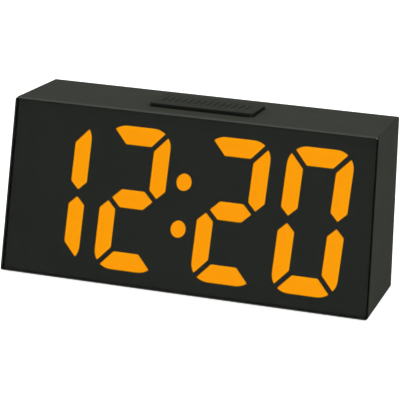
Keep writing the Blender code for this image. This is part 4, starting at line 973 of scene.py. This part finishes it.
outline = rounded(rectangle((-bar_half.x, bar_half.x), (-bar_half.y, bar_half.y)), bar_corner, 10)
bm = sheet([outline], cap_height, bar_rim, facets=5)
place = Matrix.Translation((0, bar_y, cap_bottom + cap_height / 2))
bar = as_piece("snooze_cap", bm, place, [bar_top_abs, polished_shaded_abs])
carve(bar, block(hollow_x, hollow_y, (below_bar, hollow_top)))
carve(bar, block(*lip_reach), "UNION")
carve(bar, block(hollow_x, hollow_y, (below_bar, lip_hollow_top)))
for x, radius, end in (switch_stem, *spring_stems):
    stem = sheet([disc(radius, radius)], stem_top - end)
    bmesh.ops.translate(stem, verts=stem.verts, vec=(x, bar_y, (stem_top + end) / 2))
    carve(bar, stem, "UNION")
touch = 0.1 * mm
# Upright outer faces take the polished finish, whose dark colour is partly painted shade.
for face in bar.data.polygons:
    at_end = abs(face.center.x) > bar_half.x - touch
    outside = at_end or abs(face.center.y - bar_y) > bar_half.y - touch
    face.material_index = 1 if abs(face.normal.z) < 0.6 and outside else 0
weigh_normals(bar)
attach(bar, "snooze_bar")
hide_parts("snooze_bar")
print("snooze cap:", len(bar.data.polygons), "faces")

# %% [markdown]
# What repeats or follows a path is a job for Geometry Nodes: here rows of ribs and coil springs. Both trees
# start and end alike. They start with named inputs for their sizes, so that one tree serves several pieces,
# and end with real meshes in one finish.

# %% Helpers for Geometry Nodes
def start_tree(name, *sizes, **others):
    """A tree with a geometry output and these inputs, sizes first. Gives the tree and its inputs."""
    tree = bpy.data.node_groups.new(name, "GeometryNodeTree")
    tree.interface.new_socket("Geometry", in_out="OUTPUT", socket_type="NodeSocketGeometry")
    for socket, kind in {**dict.fromkeys(sizes, "Float"), **others, "Finish": "Material"}.items():
        tree.interface.new_socket(socket, in_out="INPUT", socket_type="NodeSocket" + kind)
    return tree, add_node(tree, "NodeGroupInput").outputs


def end_tree(tree, geometry, finish):
    """Ends a tree: its instances are made real and take the finish."""
    real = add_node(tree, "GeometryNodeRealizeInstances", {"Geometry": geometry})
    dressed = add_node(tree, "GeometryNodeSetMaterial", {"Geometry": real, "Material": finish})
    add_node(tree, "NodeGroupOutput", {"Geometry": dressed})
    return tree


def run_tree(name, tree, inputs, place):
    """Runs a tree with these inputs and gives a plain mesh object, with its place in its mesh."""
    piece = put(name, bpy.data.meshes.new(name))
    rule = piece.modifiers.new("rule", "NODES")
    rule.node_group = tree
    identifiers = {item.name: item.identifier for item in tree.interface.items_tree if item.in_out == "INPUT"}
    for socket, value in inputs.items():
        rule[identifiers[socket]] = value
    made_plain(piece)
    piece.data.transform(place)
    return piece


# %% [markdown]
# The first tree makes one rib, a line of points and an instance on each. The rib is a ball whose ends are
# drawn apart and whose height is pressed down, so it has a soft crown and no sharp edge. An array could
# repeat it as well, but wouldn't keep the row about its middle when the count changes.

# %% A tree that makes a row of ribs
def rib_tree():
    """Geometry nodes: Count ribs at a Pitch along X, each Width by Length by Height, in one finish."""
    tree, given = start_tree("row_of_ribs", "Pitch", "Width", "Length", "Height", Count="Int")
    half_width = add_node(tree, "ShaderNodeMath", {"operation": "MULTIPLY", 1: 0.5}, {0: given["Width"]})
    ball = add_node(tree, "GeometryNodeMeshUVSphere", {"Segments": 20, "Rings": 10}, {"Radius": half_width})
    place = add_node(tree, "GeometryNodeInputPosition")
    apart = add_node(tree, "ShaderNodeSeparateXYZ", {"Vector": place}).outputs
    side = add_node(tree, "ShaderNodeMath", {"operation": "SIGN", 0: apart["Y"]})
    lengths = {0: given["Length"], 1: given["Width"]}
    spare = add_node(tree, "ShaderNodeMath", {"operation": "SUBTRACT"}, lengths)
    half_spare = add_node(tree, "ShaderNodeMath", {"operation": "MULTIPLY", 1: 0.5}, {0: spare})
    push = add_node(tree, "ShaderNodeMath", {"operation": "MULTIPLY", 0: side, 1: half_spare})
    offset = add_node(tree, "ShaderNodeCombineXYZ", {"Y": push})
    drawn = add_node(tree, "GeometryNodeSetPosition", {"Geometry": ball.outputs["Mesh"], "Offset": offset})
    press = add_node(tree, "ShaderNodeMath", {"operation": "DIVIDE", 0: given["Height"], 1: half_width})
    scale = add_node(tree, "ShaderNodeCombineXYZ", {"X": 1.0, "Y": 1.0}, {"Z": press})
    rib = add_node(tree, "GeometryNodeTransform", {"Geometry": drawn, "Scale": scale})
    step = add_node(tree, "ShaderNodeCombineXYZ", {"X": given["Pitch"]})
    steps = add_node(tree, "ShaderNodeMath", {"operation": "SUBTRACT", 1: 1.0}, {0: given["Count"]})
    span = add_node(tree, "ShaderNodeMath", {"operation": "MULTIPLY", 0: steps, 1: given["Pitch"]})
    start_x = add_node(tree, "ShaderNodeMath", {"operation": "MULTIPLY", 1: -0.5}, {0: span})
    start = add_node(tree, "ShaderNodeCombineXYZ", {"X": start_x})
    line_inputs = {"Count": given["Count"], "Start Location": start, "Offset": step}
    line = add_node(tree, "GeometryNodeMeshLine", {}, line_inputs)
    row = add_node(tree, "GeometryNodeInstanceOnPoints", {"Points": line, "Instance": rib})
    smooth = add_node(tree, "GeometryNodeSetShadeSmooth", {"Geometry": row})
    return end_tree(tree, smooth, given["Finish"])


ribs = rib_tree()
print("inputs:", [item.name for item in ribs.interface.items_tree if item.in_out == "INPUT"])

# %% [markdown]
# A row of low ribs lets a finger find the bar in the dark. They are moulded with the cap, so they take its
# finish and move with it.

# %% Ribs on the snooze bar
rib_sizes = {"Count": 14, "Pitch": 2.6 * mm, "Width": 1.1 * mm, "Length": 7.5 * mm, "Height": 0.3 * mm}
rib_place = Matrix.Translation((-0.5 * mm, bar_y, bar_top))
bar_ribs = run_tree("snooze_ribs", ribs, {**rib_sizes, "Finish": bar_top_abs}, rib_place)
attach(bar_ribs, "snooze_bar")
print("ribs on the bar:", len(bar_ribs.data.polygons), "faces")

# %% [markdown]
# The battery door needs a grip for the finger that opens it. A shallow pocket with five ribs lies under its
# upper edge. The door's solid is copied, its loose triangles are merged, and a Boolean cuts the pocket. The
# rib tree above fills it, turned so that the ribs lie level and end flush with the door.

# %% The battery door
def merged_copy(name, node, finishes):
    """A copy of a solid with its triangles merged into whole faces."""
    bm = bmesh.new()
    bm.from_mesh(nodes[node].data)
    tidy(bm)
    bmesh.ops.dissolve_limit(bm, angle_limit=math.radians(0.5), verts=bm.verts, edges=bm.edges)
    return as_piece(name, bm, Matrix.Identity(4), finishes)


door_low_corner, door_high_corner = (Vector(corner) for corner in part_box("battery_door"))
rear_face = 25 * mm
pocket_half = Vector((8 * mm, 5 * mm))
pocket_depth = 0.5 * mm
grip_x = (door_low_corner.x + door_high_corner.x) / 2
grip_z = door_high_corner.z - 9 * mm
door = merged_copy("battery_door_cover", "battery_door", [grained_abs])
pocket_outline = rectangle((-pocket_half.x, pocket_half.x), (-pocket_half.y, pocket_half.y))
pocket = sheet([rounded(pocket_outline, 1.5 * mm)], 2 * pocket_depth)
bmesh.ops.rotate(pocket, verts=pocket.verts, matrix=Matrix.Rotation(math.pi / 2, 3, "X"))
bmesh.ops.translate(pocket, verts=pocket.verts, vec=(grip_x, rear_face, grip_z))
carve(door, pocket)
weigh_normals(door)
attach(door, "battery_door")
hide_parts("battery_door")

level_row = Matrix.Translation((grip_x, rear_face - pocket_depth, grip_z))
level_row = level_row @ Matrix.Rotation(-math.pi / 2, 4, "X") @ Matrix.Rotation(math.pi / 2, 4, "Z")
grip_sizes = {"Count": 5, "Pitch": 1.8 * mm, "Width": 0.9 * mm, "Length": 13 * mm, "Height": 0.45 * mm}
grip = run_tree("door_grip_ribs", ribs, {**grip_sizes, "Finish": grained_abs}, level_row)
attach(grip, "battery_door")
print("door:", len(door.data.polygons), "faces, grip", len(grip.data.polygons))

# %% [markdown]
# The second tree winds a spring. It is a spiral, and a ring swept along it is the wire. Two radii make it an
# even coil or a cone. Curve points could be set one by one, but the tree needs just five sizes.

# %% A tree that makes a coil spring
def spring_tree():
    """Geometry nodes: a spring of so many Turns, from Base to Tip radius, with its Length and its Wire."""
    tree, given = start_tree("coil_spring", "Turns", "Base", "Tip", "Length", "Wire")
    lengths = {0: given["Length"], 1: given["Wire"]}
    rise = add_node(tree, "ShaderNodeMath", {"operation": "SUBTRACT"}, lengths)
    half_wire = add_node(tree, "ShaderNodeMath", {"operation": "MULTIPLY", 1: 0.5}, {0: given["Wire"]})
    path = {
        "Rotations": given["Turns"], "Start Radius": given["Base"], "End Radius": given["Tip"], "Height": rise
    }
    spiral = add_node(tree, "GeometryNodeCurveSpiral", {"Resolution": 28}, path)
    ring = add_node(tree, "GeometryNodeCurvePrimitiveCircle", {"Resolution": 10}, {"Radius": half_wire})
    sweep = {"Curve": spiral, "Profile Curve": ring}
    swept = add_node(tree, "GeometryNodeCurveToMesh", {"Fill Caps": True}, sweep)
    lift = add_node(tree, "ShaderNodeCombineXYZ", {"Z": half_wire})
    raised = add_node(tree, "GeometryNodeTransform", {"Geometry": swept, "Translation": lift})
    return end_tree(tree, raised, given["Finish"])


springs = spring_tree()
print("inputs:", [item.name for item in springs.interface.items_tree if item.in_out == "INPUT"])

# %% [markdown]
# Four coil springs: two under the snooze bar and one behind each cell. The two under the bar are even coils,
# those of the cells are cones that flatten into themselves. The pair under the bar has to shorten when the
# bar is pressed, by just as much as the bar travels. Here these two only get meshes of their own.

# %% The four springs
cell_spring = {"Turns": 3.5, "Base": 3.85 * mm, "Tip": 2.25 * mm, "Wire": 0.7 * mm}
bar_spring = {"Turns": 5.0, "Base": 1.75 * mm, "Tip": 1.75 * mm, "Wire": 0.5 * mm}
facings = {
    "up": Matrix.Identity(4),
    "right": Matrix.Rotation(math.pi / 2, 4, "Y"),
    "left": Matrix.Rotation(-math.pi / 2, 4, "Y"),
}
for name, node, facing, sizes in (
    ("snooze_coil_left", "snooze_spring_left", "up", bar_spring),
    ("snooze_coil_right", "snooze_spring_right", "up", bar_spring),
    ("negative_coil", "negative_spring", "right", cell_spring),
    ("bridge_coil", "bridge_spring", "left", cell_spring),
):
    low, high = (Vector(corner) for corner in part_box(node))
    direction = facings[facing] @ Vector((0, 0, 1))
    length = abs(direction.dot(high - low))
    base = (low + high) / 2 - direction * length / 2
    sizes = {**sizes, "Length": length, "Finish": nickel_steel}
    coil = run_tree(name, springs, sizes, Matrix.Translation(base) @ facings[facing])
    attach(coil, "case")
    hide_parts(node)
    if facing == "up":
        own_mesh(coil)
    print(name, "is", round(length / mm, 2), "mm long,", len(coil.data.polygons), "faces")

# %% [markdown]
# The light is that of a catalogue picture: white all round, soft, with no hard shadow. The world gives an
# even white. Seen directly it is full white. As light on the object it is dimmer, which leaves room for two
# lamps, and it falls off to the right, where the studio ends. That makes the side of the case darker than its
# top.

# %% World
world = bpy.data.worlds.new("white_studio")
scene.world = world
world.use_nodes = True
tree = world.node_tree
background = tree.nodes["Background"]
background.inputs["Color"].default_value = (1, 1, 1, 1)


def seen_ray(tree):
    """1 for a ray from the camera, a reflection or a view through glass, and 0 for light on a surface."""
    path = add_node(tree, "ShaderNodeLightPath").outputs
    eye_or_gloss = {0: path["Is Camera Ray"], 1: path["Is Glossy Ray"]}
    either = add_node(tree, "ShaderNodeMath", {"operation": "MAXIMUM"}, eye_or_gloss)
    any_of_three = {0: either, 1: path["Is Transmission Ray"]}
    return add_node(tree, "ShaderNodeMath", {"operation": "MAXIMUM"}, any_of_three)


direction = add_node(tree, "ShaderNodeTexCoord").outputs["Generated"]
rightness = add_node(tree, "ShaderNodeSeparateXYZ", {"Vector": direction}).outputs["X"]
room_span = {"From Min": -0.1, "From Max": 0.9, "To Min": 1.0, "To Max": 0.35}
room = add_node(tree, "ShaderNodeMapRange", room_span, {"Value": rightness})
level = add_node(tree, "ShaderNodeMapRange", {"To Min": 0.68, "To Max": 1.0}, {"Value": seen_ray(tree)})
light = add_node(tree, "ShaderNodeMath", {"operation": "MULTIPLY", 0: room, 1: level})
eye = add_node(tree, "ShaderNodeLightPath").outputs["Is Camera Ray"]
strength = add_node(tree, "ShaderNodeMath", {"operation": "MAXIMUM", 0: light, 1: eye})
link(tree, strength, background.inputs["Strength"])
scene.view_settings.view_transform = "Standard"
print("world: white, dimmer as light")

# %% [markdown]
# Two large soft lamps, one high in front and one at the right. Small ones would be as bright, but they would
# show as hard glints in the window and throw an edged shadow.

# %% Lamps
def softbox(name, place, target, width, height, watts):
    """A large soft lamp that faces a target."""
    lamp = bpy.data.lights.new(name, "AREA")
    lamp.shape = "RECTANGLE"
    lamp.size = width
    lamp.size_y = height
    lamp.energy = watts
    holder = put(name, lamp)
    holder.location = place
    holder.rotation_euler = (Vector(target) - Vector(place)).to_track_quat("-Z", "Y").to_euler()
    return holder


clock_middle = (0, 0, 0.04)
softbox("key_softbox", (-0.35, -0.75, 1.35), clock_middle, width=1.2, height=1.0, watts=9.0)
softbox("right_softbox", (1.3, -0.1, 0.75), clock_middle, width=0.9, height=0.9, watts=5.3)

# %% [markdown]
# The floor is a white sheet without an edge in view. It takes the object's soft shadow as a real one does.
# Light of its own, which only the eye and reflections see, lifts it to the white of the picture. In a
# reflection it is nothing but that white, so the glossy front mirrors one even tone.

# %% Floor
floor_mesh = bpy.data.meshes.new("floor")
bm = bmesh.new()
bmesh.ops.create_grid(bm, x_segments=1, y_segments=1, size=20)
bm.to_mesh(floor_mesh)
bm.free()
floor = put("floor", floor_mesh)
white_floor, tree, shader = start_finish("white_floor", {**dead_matt, "Emission Color": (1, 1, 1, 1)})
mirrored = add_node(tree, "ShaderNodeLightPath").outputs["Is Glossy Ray"]
papers = {"data_type": "RGBA", 6: (0.8, 0.8, 0.8, 1), 7: (0, 0, 0, 1)}
link(tree, add_node(tree, "ShaderNodeMix", papers, {0: mirrored}), shader.inputs["Base Color"])
lift = {"operation": "MULTIPLY_ADD", 1: 0.2, 2: 0.8}
own_light = add_node(tree, "ShaderNodeMath", lift, {0: mirrored})
seen_light = add_node(tree, "ShaderNodeMath", {"operation": "MULTIPLY", 0: own_light, 1: seen_ray(tree)})
link(tree, seen_light, shader.inputs["Emission Strength"])
floor_mesh.materials.append(white_floor)
floor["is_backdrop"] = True
print("floor at z =", floor.location.z)

# %% [markdown]
# Last, the boxes round the solids and round the dressed clock are printed. The dressed clock must be no
# bigger than its solids.

# %% Print both sizes
dressed_box = [list(corner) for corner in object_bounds()]
for name, box in (("solids", cad_box), ("dressed", dressed_box)):
    print(name, [[round(c / mm, 2) for c in corner] for corner in box])
